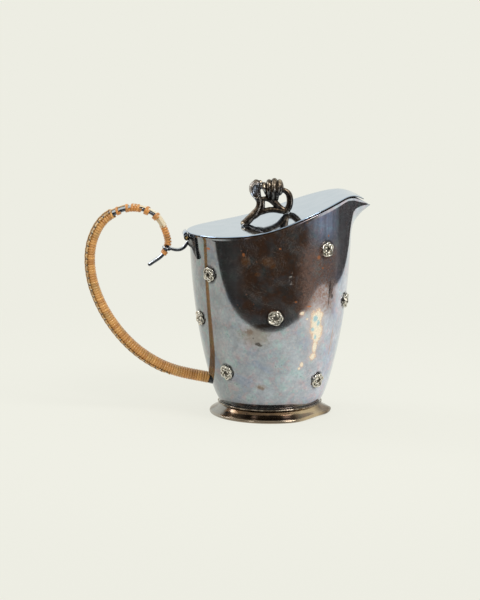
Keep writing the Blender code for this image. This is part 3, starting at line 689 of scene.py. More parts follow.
def darkCast():
    # the finial is nearly black; its edges are rubbed bare and also carry painted highlights, and the calyx is painted
    # pale as a highlight
    finish = Finish("darkCastSilver")
    highs = finish.attribute("highs")
    grain = finish.cloud(1300.0, 4.0, 0.6)
    patch = finish.cloud(330.0, 3.0, 0.6)
    rubbedAndHighlit = (highs + (grain - 0.5) * 0.16 + (patch - 0.5) * 0.30).between(0.58, 0.80)
    calyx = (finish.placed(location=(axisX - 0.0082, 0.0, 0.1262)).vector("LENGTH").output("Value")
             + (patch - 0.5) * 0.002).between(0.0022, 0.0052, 1.0, 0.0)
    color = finish.mix(patch.between(0.35, 0.65), (0.038, 0.028, 0.021), (0.095, 0.068, 0.046))
    # rubbed edges lifted to pale gold: partly wear, partly painted highlight on the ribs
    color = finish.mix(rubbedAndHighlit * 0.85, color, (0.72, 0.60, 0.47))
    # painted highlight: the calyx's open cup is painted pale
    color = finish.mix(calyx * (highs + (grain - 0.5) * 0.3).between(0.30, 0.60), color, (0.62, 0.58, 0.56))
    color = finish.mix(highs.between(0.22, 0.46, 1.0, 0.0), color, (0.010, 0.008, 0.007))
    return finish.surface(Base_Color=color, Metallic=0.95, Roughness=rubbedAndHighlit.between(0.0, 1.0, 0.30, 0.20),
                          Normal=finish.bump(grain, 0.00006, 0.4))


def grainedMetal(name, scale, dark, light, metallic, rough, relief=None, handled=False):
    # relief is the distance and strength of the grain's bumps
    finish = Finish(name)
    grain = finish.cloud(scale, 4.0, 0.6)
    color = finish.mix(grain.between(0.35, 0.7), dark, light)
    if handled:  # painted highlight on its upper side, where the light from above falls
        overlay = (finish.attribute("upward") + (grain - 0.5) * 0.25).between(0.66, 0.84)
        color = finish.mix(overlay * 0.9, color, (0.62, 0.66, 0.72))
    bumps = {"Normal": finish.bump(grain, *relief)} if relief else {}
    return finish.surface(Base_Color=color, Metallic=metallic, Roughness=grain.between(0.3, 0.8, *rough), **bumps)


caneTones = {
    "wound": ((0.44, 0.19, 0.050), (0.76, 0.41, 0.13), (0.42, 0.27, 0.10)),
    "loose": ((0.46, 0.175, 0.038), (0.72, 0.31, 0.075), (0.40, 0.20, 0.065)),
    "laid": ((0.34, 0.19, 0.060), (0.62, 0.37, 0.125), (0.27, 0.17, 0.065)),
    "bleached": ((0.66, 0.55, 0.38), (0.86, 0.80, 0.66), (0.62, 0.40, 0.20)),
}


def splitCane(kind, holeShadeAndGlint=False):
    # turnsAlong counts the turns, around goes once round the strip's own section
    finish = Finish(kind + "Cane")
    low, high, overlay = caneTones[kind]
    along = finish.attribute("turnsAlong")
    around = finish.attribute("around")
    perTurn = finish.cloud(3.7, 1.0, at=finish.combine(along.maths("FLOOR"), 0.0, 0.0))
    fibre = finish.cloud(1.0, 3.0, 0.6, at=finish.combine(along * 5.0, around * 26.0, 0.0))
    patch = finish.cloud(150.0, 3.0)
    height = finish.node("ShaderNodeSeparateXYZ", None, {0: finish.point}, "Z")
    color = finish.mix(perTurn.between(0.35, 0.65) * 0.8 + 0.1, low, high)
    color = finish.mix(patch.between(0.50, 0.68) * 0.6, color, overlay)
    color = finish.mix(fibre.between(0.45, 0.75) * 0.35, color, (0.22, 0.11, 0.035))
    color = finish.mix(height.between(0.015, 0.075, 0.30, 0.0), color, (0.40, 0.17, 0.035))
    if holeShadeAndGlint:  # painted shade: where the strip dips under a turn the hole is painted dark, with a painted cream highlight just beyond it
        beat = (along + (perTurn - 0.5) * 0.5 + (patch - 0.5) * 0.3).maths("FRACT")
        color = finish.mix(beat.between(0.40, 0.48) * (1.0 - beat.between(0.66, 0.74)), color, (0.035, 0.021, 0.012))
        color = finish.mix(beat.between(0.72, 0.78) * (1.0 - beat.between(0.84, 0.92)) * patch.between(0.44, 0.56),
                           color, (0.74, 0.64, 0.45))
    return finish.surface(Base_Color=color, Roughness=fibre.between(0.2, 0.8, 0.32, 0.48), Coat_Weight=0.15,
                          Normal=finish.bump(fibre, 0.00006, 0.5))


plate = platedSilver()
lidPlate = lidSilver()
footPlate = footSilver()
beadPlate = beadSilver()
cast = castSilver()
oxidised = darkCast()
iron = grainedMetal("blackenedMetal", 1100.0, (0.020, 0.021, 0.024), (0.075, 0.080, 0.092), 0.75, (0.24, 0.38),
                    (0.00005, 0.4))
steel = grainedMetal("bareSteel", 900.0, (0.050, 0.054, 0.066), (0.15, 0.165, 0.20), 0.95, (0.18, 0.30),
                     (0.00004, 0.3), handled=True)
brass = grainedMetal("wornBrass", 1300.0, (0.28, 0.18, 0.06), (0.66, 0.47, 0.20), 1.0, (0.22, 0.4))
woundCane = splitCane("wound")
looseCane = splitCane("loose")
laidCane = splitCane("laid")
braidedCane = splitCane("laid", True)
paleCane = splitCane("bleached")
print("finishes ready")


# ---- vessel ----

vessel = {
    "profile": [(0.0065, 0.0281), (0.0125, 0.0311), (0.0260, 0.0353), (0.0470, 0.0398), (0.0700, 0.0430),
                (0.0970, 0.0449), (0.1300, 0.0453)],
    "spoutStart": 0.0970, "spoutTipHeight": 0.1165, "spoutReach": 0.0108, "spoutHalfAngle": math.radians(32),
    "wall": 0.0011, "lip": 0.0004, "sides": 224, "levels": 56,
}
lid = {
    "midline": [(-0.0480, 0.1030), (-0.0300, 0.1038), (-0.0123, 0.1060), (0.0011, 0.1094), (0.0146, 0.1144),
                (0.0280, 0.1195), (0.0370, 0.1227), (0.0420, 0.1237), (0.0470, 0.1229), (0.0535, 0.1196),
                (0.0580, 0.1172)],
    "radius": 0.0456, "thickness": 0.0007, "reach": 0.0068, "halfAngle": math.radians(35), "backReach": 0.0008,
    "gap": 0.0003, "spoutGap": 0.0005, "sides": 224, "rings": 26,
}


def vesselRadius(angle, z):
    height = min(max((z - vessel["spoutStart"]) / (vessel["spoutTipHeight"] - vessel["spoutStart"]), 0.0), 1.0)
    side = max(1.0 - abs(angle) / vessel["spoutHalfAngle"], 0.0)
    return smoothValue(vessel["profile"], z) + vessel["spoutReach"] * height ** 2.6 * side ** 2.6


def lidHeight(x):
    return smoothValue(lid["midline"], x)


def rimHeight(angle):
    # the rim follows the lid's underside, a little lower beside the spout
    z = 0.110
    for _ in range(12):
        x = vesselRadius(angle, z) * math.cos(angle)
        rise = min(max((x - 0.005) / 0.030, 0.0), 1.0)
        z = lidHeight(x) - lid["thickness"] - lid["gap"] - lid["spoutGap"] * rise
    return z


def onVessel(angle, z, out):
    step = 0.0005
    slope = (vesselRadius(angle, z + step) - vesselRadius(angle, z - step)) / (2 * step)
    scale = 1.0 / math.sqrt(1.0 + slope * slope)
    radius = vesselRadius(angle, z) + out * scale
    return Vector((radius * math.cos(angle), radius * math.sin(angle), z - out * slope * scale))


def makeVessel():
    angles = turnAngles(vessel["sides"])
    rims = [rimHeight(angle) for angle in angles]
    base = vessel["profile"][0][0]
    shares = [(k / vessel["levels"]) ** 0.9 for k in range(vessel["levels"] + 1)]

    def loop(share, inward, drop=0.0):
        points = []
        for angle, rim in zip(angles, rims):
            z = base + (rim - drop - base) * share
            radius = vesselRadius(angle, z) - inward
            points.append((radius * math.cos(angle), radius * math.sin(angle), z))
        return points

    lip, wall = vessel["lip"], vessel["wall"]
    loops = [loop(share, 0.0, lip) for share in shares]
    for k in range(1, 6):
        turn = math.pi * k / 6
        loops.append(loop(1.0, wall / 2 * (1 - math.cos(turn)), lip * (1 - math.sin(turn))))
    loops += [loop(share, wall, lip) for share in reversed(shares[::2])]
    piece = addObject("jugBody", loopMesh("jugBody", loops, closed=True, place=toAxis), plate, 50)
    ride(piece, "jug", "tarnished_silver", "vessel_body")
    print("vessel made")


# ---- foot ----

foot = {
    "top": 0.0062, "radius": 0.0340, "neck": 0.0281, "sheet": 0.0011, "sides": 224,
    "bendAngle": math.radians(-40), "bendWidth": math.radians(34), "bendDepth": 0.0018, "bendLift": 0.0009,
    "spur": 0.0006, "bead": 0.00042,
    # the outer face as (distance out from the neck, height)
    "face": [(0.0, 0.0062), (0.0001, 0.0057), (0.0006, 0.0050), (0.0018, 0.0037), (0.0036, 0.0026),
             (0.0050, 0.0019), (0.0057, 0.0014), (0.0059, 0.0007)],
}


def makeFoot():
    neck, edge = foot["neck"], foot["radius"]
    lengths = runLengths(foot["face"])
    outs = [(run, point[0]) for run, point in zip(lengths, foot["face"])]
    heights = [(run, point[1]) for run, point in zip(lengths, foot["face"])]
    runs = [lengths[-1] * k / 32 for k in range(33)]
    section = [(neck + smoothValue(outs, run), smoothValue(heights, run)) for run in runs]
    section += [(edge - 0.0002, 0.0002), (edge - 0.0006, 0.0), (edge - 0.0024, 0.0), (edge - 0.0030, 0.0004),
                (neck + 0.0022, 0.0018), (neck + 0.0006, 0.0030), (neck - 0.0006, 0.0046),
                (neck - foot["sheet"], foot["top"])]
    loops = []
    for angle in turnAngles(foot["sides"]):
        loop = []
        for r, z in section:
            reach = max((r - neck) / (edge - neck), 0.0)
            offset = abs(angle - foot["bendAngle"]) / foot["bendWidth"]
            dent = math.cos(0.5 * math.pi * offset) ** 2 if offset < 1.0 else 0.0
            spur = math.exp(-((angle - foot["bendAngle"] - foot["bendWidth"]) / math.radians(9)) ** 2)
            r += reach * (foot["spur"] * spur - foot["bendDepth"] * dent)
            loop.append((r * math.cos(angle), r * math.sin(angle), z + foot["bendLift"] * (dent + spur) * reach))
        loops.append(loop)
    collar = addObject("footCollar", loopMesh("footCollar", loops, closed=True, place=toAxis), footPlate, 60)
    ride(collar, "jug", "foot_silver", "foot_ring")
    middle = neck + 0.0003 + foot["bead"] + 0.0001
    ring = [(middle + foot["bead"] * c, foot["top"] + 0.0001 + foot["bead"] * s) for c, s in circle(14)]
    bead = addObject("footBead", lathe("footBead", ring, foot["sides"], toAxis), beadPlate)
    ride(bead, "jug", "foot_silver", "foot_bead")
    print("foot made")


# ---- lid ----

def lidEdge(angle):
    side = max(1.0 - abs(angle) / lid["halfAngle"], 0.0)
    return lid["radius"] + lid["reach"] * side ** 2.2 + lid["backReach"] * max(-math.cos(angle), 0.0)


def makeLid():
    angles = turnAngles(lid["sides"])
    thick = lid["thickness"]
    bm = bmesh.new()

    def ring(share, inset, drop):
        row = []
        for angle in angles:
            radius = lidEdge(angle) * share - inset
            x = radius * math.cos(angle)
            row.append(bm.verts.new((x, radius * math.sin(angle), lidHeight(x) - drop)))
        return row

    rows = []
    shares = [k / lid["rings"] for k in range(1, lid["rings"] + 1)]
    half = thick / 2
    for share in shares:
        rows.append(ring(share, half * share, 0.0))
    for k in range(1, 8):
        turn = math.pi * k / 8
        rows.append(ring(1.0, half * (1 - math.sin(turn)), half * (1 - math.cos(turn))))
    for share in reversed(shares):
        rows.append(ring(share, half * share, thick))
    joinRows(bm, rows)
    for row, drop in ((rows[0], 0.0), (rows[-1], thick)):
        middle = bm.verts.new((0.0, 0.0, lidHeight(0.0) - drop))
        for k in range(len(angles)):
            bm.faces.new((row[k], row[(k + 1) % len(angles)], middle))
    mesh = closedMesh("lidSheet", bm, toAxis)
    drops = [lidHeight(vert.co.x - axisX) - vert.co.z for vert in mesh.vertices]
    # edge marks the lower half of the rim, which the lid finish darkens as painted shade of the gap below it
    setValues(mesh, "edge", [1.0 if drop > thick * 0.45 else 0.0 for drop in drops])
    sheet = addObject("lidSheet", mesh, lidPlate, 60)
    ride(sheet, "lid", "lid_silver", "lid_plate")
    print("lid made")


# ---- rosettes ----

rosette = {
    "ring": 0.00268, "swing": 0.00108, "weave": 0.00044, "wire": 0.00047, "lift": 0.00100,
    "points": 190, "leads": 3.0, "bights": 5.0, "discRadius": 0.0034, "discSides": 24,
    # the backing disc as (share of its radius, distance out from the wall)
    "disc": [(0.0, 0.0002), (0.6, 0.00035), (1.0, 0.0003), (1.04, -0.0001)],
}


def knotRecipe():
    # one closed wire woven over and under itself into a ring with four outer loops
    recipe = Recipe("knotRing", [("Ring", "Float"), ("Swing", "Float"), ("Weave", "Float"), ("Wire", "Float"),
                                 ("Points", "Int"), ("Leads", "Float"), ("Bights", "Float"), ("Finish", "Material")])
    asked = recipe.asked
    hoop = recipe.node("GeometryNodeCurvePrimitiveCircle", None,
                       {"Resolution": asked("Points"), "Radius": asked("Ring")})
    turn = recipe.node("GeometryNodeInputIndex") / asked("Points") * asked("Leads") * math.tau
    phase = turn * asked("Bights") / asked("Leads")
    reach = asked("Ring") + asked("Swing") * phase.maths("COSINE")
    rise = asked("Weave") * (phase * 2.0).maths("SINE")
    place = recipe.combine(reach * turn.maths("COSINE"), reach * turn.maths("SINE"), rise)
    path = recipe.node("GeometryNodeSetPosition", None, {"Geometry": hoop, "Position": place})
    section = recipe.node("GeometryNodeCurvePrimitiveCircle", None, {"Resolution": 8, "Radius": asked("Wire")})
    wire = recipe.node("GeometryNodeCurveToMesh", None, {"Curve": path, "Profile Curve": section})
    recipe.end(recipe.node("GeometryNodeSetShadeSmooth", None, {0: wire}))
    return recipe


def onWall(angle, height, x, y, out):
    # a point at x across and y up from a place on the wall, that far out from it
    return onVessel(angle + x / vesselRadius(angle, height), height + y, out)


def markHighs(mesh, reach, passes):
    # stores how far each point stands out from its neighbours, from 0 in a hollow to 1 on an edge
    bm = bmesh.new()
    bm.from_mesh(mesh)
    values = []
    for vert in bm.verts:
        around = [edge.other_vert(vert).co for edge in vert.link_edges]
        middle = sum(around, Vector()) / max(len(around), 1)
        spacing = sum((p - vert.co).length for p in around) / max(len(around), 1)
        values.append((vert.co - middle).dot(vert.normal) / max(spacing * spacing, 1e-12) * reach)
    for _ in range(passes):
        values = [(values[v.index] + sum(values[e.other_vert(v).index] for e in v.link_edges))
                  / (1 + len(v.link_edges)) for v in bm.verts]
    bm.free()
    setValues(mesh, "highs", [min(max(0.5 + v, 0.0), 1.0) for v in values])


def makeRosettes():
    recipe = knotRecipe()
    sizes = {key: rosette[key] for key in ("ring", "swing", "weave", "wire", "points", "leads", "bights")}
    sides = rosette["discSides"]
    for number, (angle, height) in enumerate(rosettePlaces(), 1):
        name = f"rosette{number:02d}"
        knot = recipe.make(name, bpy.data.meshes.new(name), **sizes, finish=cast)
        turn = math.radians(22.0 + 31.0 * number)  # no two were soldered on quite alike
        bm = bmesh.new()
        bm.from_mesh(knot.data)
        backs = []
        for ring, out in rosette["disc"]:
            reach = rosette["discRadius"] * ring
            backs.append([bm.verts.new((reach * c, reach * s, out - rosette["lift"]))
                          for c, s in circle(sides)[:sides if ring else 1]])
        for j in range(sides):
            n = (j + 1) % sides
            bm.faces.new((backs[0][0], backs[1][j], backs[1][n]))
            for inner, outer in zip(backs[1:], backs[2:]):
                bm.faces.new((inner[j], outer[j], outer[n], inner[n]))
        bm.faces.new(list(reversed(backs[-1])))
        for vert in bm.verts:
            x, y, out = vert.co
            x, y = x * math.cos(turn) - y * math.sin(turn), x * math.sin(turn) + y * math.cos(turn)
            vert.co = onWall(angle, height, x, y, out + rosette["lift"])
        bm.to_mesh(knot.data)
        bm.free()
        knot.data.transform(toAxis)
        knot.data.shade_smooth()
        knot.data.set_sharp_from_angle(angle=math.radians(60))
        markHighs(knot.data, 0.00030, 1)
        ride(knot, "jug", "cast_silver", f"rosette_{number:02d}")
    print("rosettes made", number)


# ---- finial ----

finial = {  # stems as (x, z, radius), from the jug's axis
    "rear": [(-0.0146, 0.1068, 0.0018), (-0.0132, 0.1076, 0.0021), (-0.0112, 0.1096, 0.0020),
             (-0.0086, 0.1124, 0.0019), (-0.0066, 0.1156, 0.0016), (-0.0062, 0.1188, 0.0014),
             (-0.0070, 0.1214, 0.0015), (-0.0080, 0.1236, 0.0020), (-0.0086, 0.1258, 0.0027),
             (-0.0085, 0.1276, 0.0029), (-0.0078, 0.1289, 0.0022)],
    "fork": [(-0.0106, 0.1094, 0.0012), (-0.0078, 0.1112, 0.0014), (-0.0056, 0.1134, 0.0014),
             (-0.0044, 0.1158, 0.0013), (-0.0042, 0.1186, 0.0012)],
    "upper": [(-0.0060, 0.1196, 0.0012), (-0.0036, 0.1205, 0.0012), (-0.0010, 0.1201, 0.0014),
              (0.0018, 0.1188, 0.0018), (0.0042, 0.1166, 0.0016), (0.0068, 0.1146, 0.0014), (0.0092, 0.1136, 0.0014)],
    "lower": [(-0.0075, 0.1118, 0.0012), (-0.0046, 0.1130, 0.0014), (-0.0010, 0.1141, 0.0015),
              (0.0024, 0.1142, 0.0015), (0.0060, 0.1136, 0.0015), (0.0096, 0.1130, 0.0014)],
    "loop": [(0.0056, 0.1250, 0.0012), (0.0080, 0.1249, 0.0014), (0.0102, 0.1230, 0.0016), (0.0110, 0.1196, 0.0017),
             (0.0106, 0.1162, 0.0017), (0.0094, 0.1140, 0.0017), (0.0087, 0.1122, 0.0014)],
    "tendril": [(-0.0070, 0.1266, 0.0010), (-0.0048, 0.1270, 0.0011), (-0.0028, 0.1276, 0.0011),
                (-0.0006, 0.1270, 0.0010)],
    # how much wider across than deep each stem is
    "flats": {"rear": 1.15, "fork": 1.1, "upper": 1.1, "lower": 1.2, "loop": 1.15, "tendril": 1.0},
    # ribs of the bud: top x and z, foot x and z, thickness, width across
    "ribs": [(-0.0034, 0.1288, -0.0024, 0.1240, 0.00115, 0.0032), (-0.0006, 0.1301, -0.0004, 0.1212, 0.00140, 0.0042),
             (0.0024, 0.1306, 0.0016, 0.1198, 0.00158, 0.0047), (0.0053, 0.1299, 0.0036, 0.1200, 0.00150, 0.0043)],
    # swellings: place, half sizes, turn
    "balls": [
        ((0.0014, 0.0, 0.1252), (0.0052, 0.0036, 0.0048), 0.1),          # the bud's core
        ((0.0058, 0.0, 0.1262), (0.0016, 0.0036, 0.0040), 0.1),          # its rounded far end
        ((-0.0060, -0.0008, 0.1296), (0.0017, 0.0016, 0.0012), -0.5),    # the calyx's curled tip
        ((-0.0104, 0.0, 0.1272), (0.0014, 0.0030, 0.0020), 0.2),         # the calyx's outer lip
        ((0.0089, 0.0, 0.1123), (0.0015, 0.0016, 0.0015), 0.0),          # the front foot
        ((-0.0152, 0.0, 0.1068), (0.0012, 0.0026, 0.0014), -0.3),        # the rear foot's flare
    ],
    "voxel": 0.00024, "stout": 1.10, "soleClear": 0.00005,
}


def stemRoute(stem, count):
    points = evenRoute([(x, z) for x, z, _ in stem], count)
    lengths = [(k / (len(stem) - 1), row[2] * finial["stout"]) for k, row in enumerate(stem)]
    return points, [smoothValue(lengths, k / (count - 1)) for k in range(count)]


def ribLoops(topX, topZ, footX, footZ, radius, width, steps=44):
    # one rib of the bud: an upright oval ring from its foot, over the top and back
    root = Vector((footX, 0.0, footZ))
    top = Vector((topX, 0.0, topZ))
    middle = (root + top) / 2
    half = (top - root) / 2
    upright = half.normalized()
    across = upright.cross(crosswise)
    loops = []
    for k in range(steps):
        turn = math.tau * k / steps
        share = 0.5 + 0.5 * math.cos(turn)
        thick = radius * (0.66 + 0.34 * share ** 0.7)
        bulge = width * (0.70 + 0.30 * share ** 0.5)
        bow = across * 0.0007 * math.sin(turn) ** 2
        point = middle + half * math.cos(turn) + Vector((0.0, -bulge * math.sin(turn), 0.0)) + bow
        ahead = (half * -math.sin(turn) + Vector((0.0, -width * math.cos(turn), 0.0))).normalized()
        side = ahead.cross(across).normalized()
        loops.append([point + thick * (side * 0.9 * c + across * s) for c, s in circle(12)])
    return loops


def addBall(bm, place, radii, turn):
    matrix = Matrix.Translation(Vector(place)) @ Matrix.Rotation(turn, 4, "Y") @ Matrix.Diagonal((*radii, 1.0))
    bmesh.ops.create_icosphere(bm, subdivisions=3, radius=1.0, matrix=matrix)


def makeFinial():
    # the stems, ribs and balls are cast into one skin, then softened
    bm = bmesh.new()

    def take(mesh):
        bm.from_mesh(mesh)
        bpy.data.meshes.remove(mesh)

    for key, flat in finial["flats"].items():
        points, radii = stemRoute(finial[key], 30)
        take(loopMesh(key, tubeLoops(points, radii, 16, flat=flat)))
    for rib in finial["ribs"]:
        take(loopMesh("rib", ribLoops(*rib), closed=True))
    for ball in finial["balls"]:
        addBall(bm, *ball)
    rough = newObject("castBlank", meshFrom("lidFinial", bm))
    skin = rough.modifiers.new("cast", "REMESH")
    skin.mode = "VOXEL"
    skin.voxel_size = finial["voxel"]
    soften = rough.modifiers.new("soften", "SMOOTH")
    soften.factor = 0.5
    soften.iterations = 4
    graph = bpy.context.evaluated_depsgraph_get()
    fine = bpy.data.meshes.new_from_object(rough.evaluated_get(graph))
    bpy.data.objects.remove(rough)
    for vert in fine.vertices:
        x, y, z = vert.co
        if y < 0.0:  # the calyx is scooped out down its near side
            scoop = ((x + 0.0082) / 0.0022) ** 2 + ((z - 0.1250) / 0.0038) ** 2
            vert.co.y += 0.0023 * max(1.0 - scoop, 0.0) ** 0.6
        vert.co += vert.normal * 0.00006 * noise.noise(vert.co * 900.0)
        vert.co.z = max(vert.co.z, lidHeight(vert.co.x) + finial["soleClear"])
    fine.transform(toAxis)
    piece = addObject("lidFinial", fine, oxidised, 60)
    markHighs(piece.data, 0.0006, 3)
    ride(piece, "lid", "cast_silver", "lid_finial")
    print("finial made,", len(fine.polygons), "faces")


# ---- handle ----

handle = {
    "route": [(-0.0310, 0.0190), (-0.0572, 0.0256), (-0.0759, 0.0374), (-0.0908, 0.0558), (-0.0990, 0.0762),
              (-0.0994, 0.0950), (-0.0921, 0.1096), (-0.0777, 0.1161), (-0.0639, 0.1117), (-0.0570, 0.0980),
              (-0.0596, 0.0902), (-0.0672, 0.0844)],
    "radii": [(0.0, 0.00205), (0.30, 0.0019), (0.50, 0.0017), (0.70, 0.0016), (0.78, 0.0013), (0.86, 0.0011),
              (0.94, 0.0012), (1.0, 0.0011)],
    "wide": 2.0, "points": 391, "rodStart": 0.0125, "collar": (0.0105, 0.0165),
    "tieShare": 0.932, "ringWire": 0.0007, "armWire": 0.0010,
}
# each length of wound cane: name, CAD node, finish, start and end along the handle, turns, half width,
# half thickness, distance out from the rod, lean of each turn, where the turn begins
wraps = [
    ("gripWinding", "cane_wrap_grip", woundCane, 0.0170, 0.700, 95.5, 0.00071, 0.00042, 0.00070, 0.00006, 0.0),
    ("looseTurn1", "cane_turn_1", looseCane, 0.7120, 0.7195, 1.3, 0.00070, 0.00032, 0.00050, 0.00025, 2.6),
    ("looseTurn2", "cane_turn_2", looseCane, 0.7395, 0.7465, 1.3, 0.00078, 0.00034, 0.00055, -0.00012, 2.9),
    ("looseTurns3", "cane_turn_3", looseCane, 0.7535, 0.7810, 3.4, 0.00082, 0.00036, 0.00055, 0.00012, 2.4),
    ("looseTurn4", "cane_turn_4", looseCane, 0.7970, 0.8060, 1.4, 0.00078, 0.00030, 0.00100, 0.00075, 2.7),
    ("looseTurn5", "cane_turn_5", looseCane, 0.8280, 0.8370, 1.4, 0.00080, 0.00030, 0.00100, 0.00065, 2.7),
    ("scrollWinding", "cane_wrap_scroll", looseCane, 0.8620, 0.9245, 8.4, 0.00070, 0.00034, 0.00048, 0.00010, 1.2),
    ("tailWinding", "cane_wrap_tail", looseCane, 0.9400, 0.9490, 1.6, 0.00060, 0.00030, 0.00045, 0.00010, 2.0),
]
# cane laid along the rod: name, CAD node, finish, start, end, waves, wave height, half width, distance out,
# where round the rod
strips = [
    ("spineStrip", "cane_spine", laidCane, 0.1500, 0.6970, 31.0, 0.00006, 0.00100, 0.00126, -0.16),
    ("spineBraid", None, braidedCane, 0.1300, 0.6990, 32.0, 0.00016, 0.00105, 0.00120, -0.80),
    ("topCane", None, laidCane, 0.6900, 0.7480, 1.0, 0.00004, 0.00065, 0.00034, -0.10),
    ("bleachedStrip1", None, paleCane, 0.7580, 0.8300, 1.4, 0.00004, 0.00125, 0.00050, -0.50),
    ("bleachedStrip2", None, paleCane, 0.8260, 0.8660, 0.8, 0.00004, 0.00200, 0.00062, -0.80),
    ("bleachedStrip3", None, paleCane, 0.8330, 0.8680, 0.8, 0.00004, 0.00130, 0.00048, -1.75),
]


def caneRecipe():
    # a flat strip of cane wound round the rod, or laid along it when Turns is 0
    recipe = Recipe("woundCane", [
        ("Start", "Float"), ("End", "Float"), ("Turns", "Float"), ("Steps", "Int"), ("Half Width", "Float"),
        ("Half Thickness", "Float"), ("Stand Off", "Float"), ("Lean", "Float"), ("Phase", "Float"),
        ("Waves", "Float"), ("Wave Height", "Float"), ("Stray", "Float"), ("Oval", "Float"), ("Seed", "Float"),
        ("Finish", "Material"),
    ])
    asked = recipe.asked
    rod = recipe.node("GeometryNodeMeshToCurve", None, {0: asked("Geometry")})
    line = recipe.node("GeometryNodeResampleCurve", None,
                       {"Curve": recipe.node("GeometryNodeCurvePrimitiveLine"), "Count": asked("Steps")})
    part = recipe.node("GeometryNodeInputIndex") / (asked("Steps") - 1.0)
    turned = part * asked("Turns")
    thickness = recipe.node("GeometryNodeInputNamedAttribute", {"data_type": "FLOAT"}, {"Name": "rodRadius"})
    sample = recipe.node("GeometryNodeSampleCurve", {"data_type": "FLOAT", "mode": "FACTOR"},
                         {"Curves": rod, "Value": thickness,
                          "Factor": asked("Start") + (asked("End") - asked("Start")) * part})
    ahead = sample.output("Tangent")
    outward = ahead.vector("CROSS_PRODUCT", (0.0, 1.0, 0.0)).vector("NORMALIZE")
    angle = turned * math.tau + asked("Phase")
    strayAt = recipe.combine(turned * 0.9 + part * asked("Waves") + asked("Seed"), 0.0, 0.0)
    stray = recipe.node("ShaderNodeTexNoise", None, {"Vector": strayAt, "Scale": 1.3, "Detail": 1.0}) - 0.5
    reach = sample + asked("Stand Off") + (part * asked("Waves") * math.tau).maths("COSINE") * asked("Wave Height")
    place = sample.output("Position").vector("ADD", outward.scaled(angle.maths("COSINE") * reach))
    place = place.vector("ADD", recipe.combine(0.0, angle.maths("SINE") * reach * asked("Oval"), 0.0))
    place = place.vector("ADD", ahead.scaled(stray * asked("Stray") + angle.maths("SINE") * asked("Lean")))
    facing = outward.scaled(angle.maths("COSINE") * asked("Oval")).vector(
        "ADD", recipe.combine(0.0, angle.maths("SINE"), 0.0))
    path = recipe.node("GeometryNodeSetPosition", None, {"Geometry": line, "Position": place})
    path = recipe.node("GeometryNodeSetCurveNormal", {"mode": "FREE"}, {"Curve": path, "Normal": facing})
    path = recipe.node("GeometryNodeStoreNamedAttribute", {"data_type": "FLOAT", "domain": "POINT"},
                       {"Geometry": path, "Name": "turnsAlong",
                        "Value": turned + part * asked("Waves") + asked("Seed")})
    section = recipe.node("GeometryNodeCurvePrimitiveCircle", None, {"Resolution": 10, "Radius": 1.0})
    section = recipe.node("GeometryNodeTransform", None,
                          {"Geometry": section,
                           "Scale": recipe.combine(asked("Half Thickness"), asked("Half Width"), 1.0)})
    section = recipe.node("GeometryNodeStoreNamedAttribute", {"data_type": "FLOAT", "domain": "POINT"},
                          {"Geometry": section, "Name": "around",
                           "Value": recipe.node("GeometryNodeInputIndex") / 10.0})
    band = recipe.node("GeometryNodeCurveToMesh", None,
                       {"Curve": path, "Profile Curve": section, "Fill Caps": True})
    recipe.end(recipe.node("GeometryNodeSetShadeSmooth", None, {0: band}))
    return recipe


def rodRadius(share):
    return smoothValue(handle["radii"], share)


def alongHandle(share):
    # the place on the handle's route, its heading and its outer side
    last = len(handleRoute) - 1
    low = min(int(share * last), last - 1)
    ahead = (handleRoute[low + 1] - handleRoute[low]).normalized()
    return handleRoute[low].lerp(handleRoute[low + 1], share * last - low), ahead, Vector((-ahead.z, 0.0, ahead.x))


def rodBase(name):
    last = len(handleRoute) - 1
    base = bpy.data.meshes.new(name)
    base.from_pydata([tuple(point) for point in handleRoute], [(k, k + 1) for k in range(last)], [])
    setValues(base, "rodRadius", [rodRadius(k / last) for k in range(last + 1)])
    base.transform(toAxis)
    return base


def makeCane():
    recipe = caneRecipe()

    def strip(name, node, finish, **sizes):
        piece = recipe.make(name, rodBase(name), oval=handle["wide"], finish=finish, **sizes)
        ride(piece, "jug", "cane", *([node] if node else []))

    for k, (name, node, finish, start, end, turns, halfWidth, halfThick, off, lean, phase) in enumerate(wraps):
        strip(name, node, finish, start=start, end=end, turns=turns, steps=round(turns * 20) + 1,
              halfwidth=halfWidth, halfthickness=halfThick, standoff=off, lean=lean, phase=phase,
              waves=0.0, waveheight=0.0, stray=0.00022, seed=11.3 * k + 2.0)
    for k, (name, node, finish, start, end, waves, waveHeight, halfWidth, off, phase) in enumerate(strips):
        strip(name, node, finish, start=start, end=end, turns=0.0, steps=round(waves * 14) + 16,
              halfwidth=halfWidth, halfthickness=0.00024, standoff=off, lean=0.0, phase=phase,
              waves=waves, waveheight=waveHeight, stray=0.0, seed=7.0 * k + 40.0)
    print("cane wound")


def addSteel(name, mesh):
    # the upper side of the bare steel gets a painted highlight; upward stores how far each point faces up
    made = addObject(name, mesh, steel)
    setValues(mesh, "upward", [0.5 + 0.5 * vert.normal.z for vert in mesh.vertices])
    return made


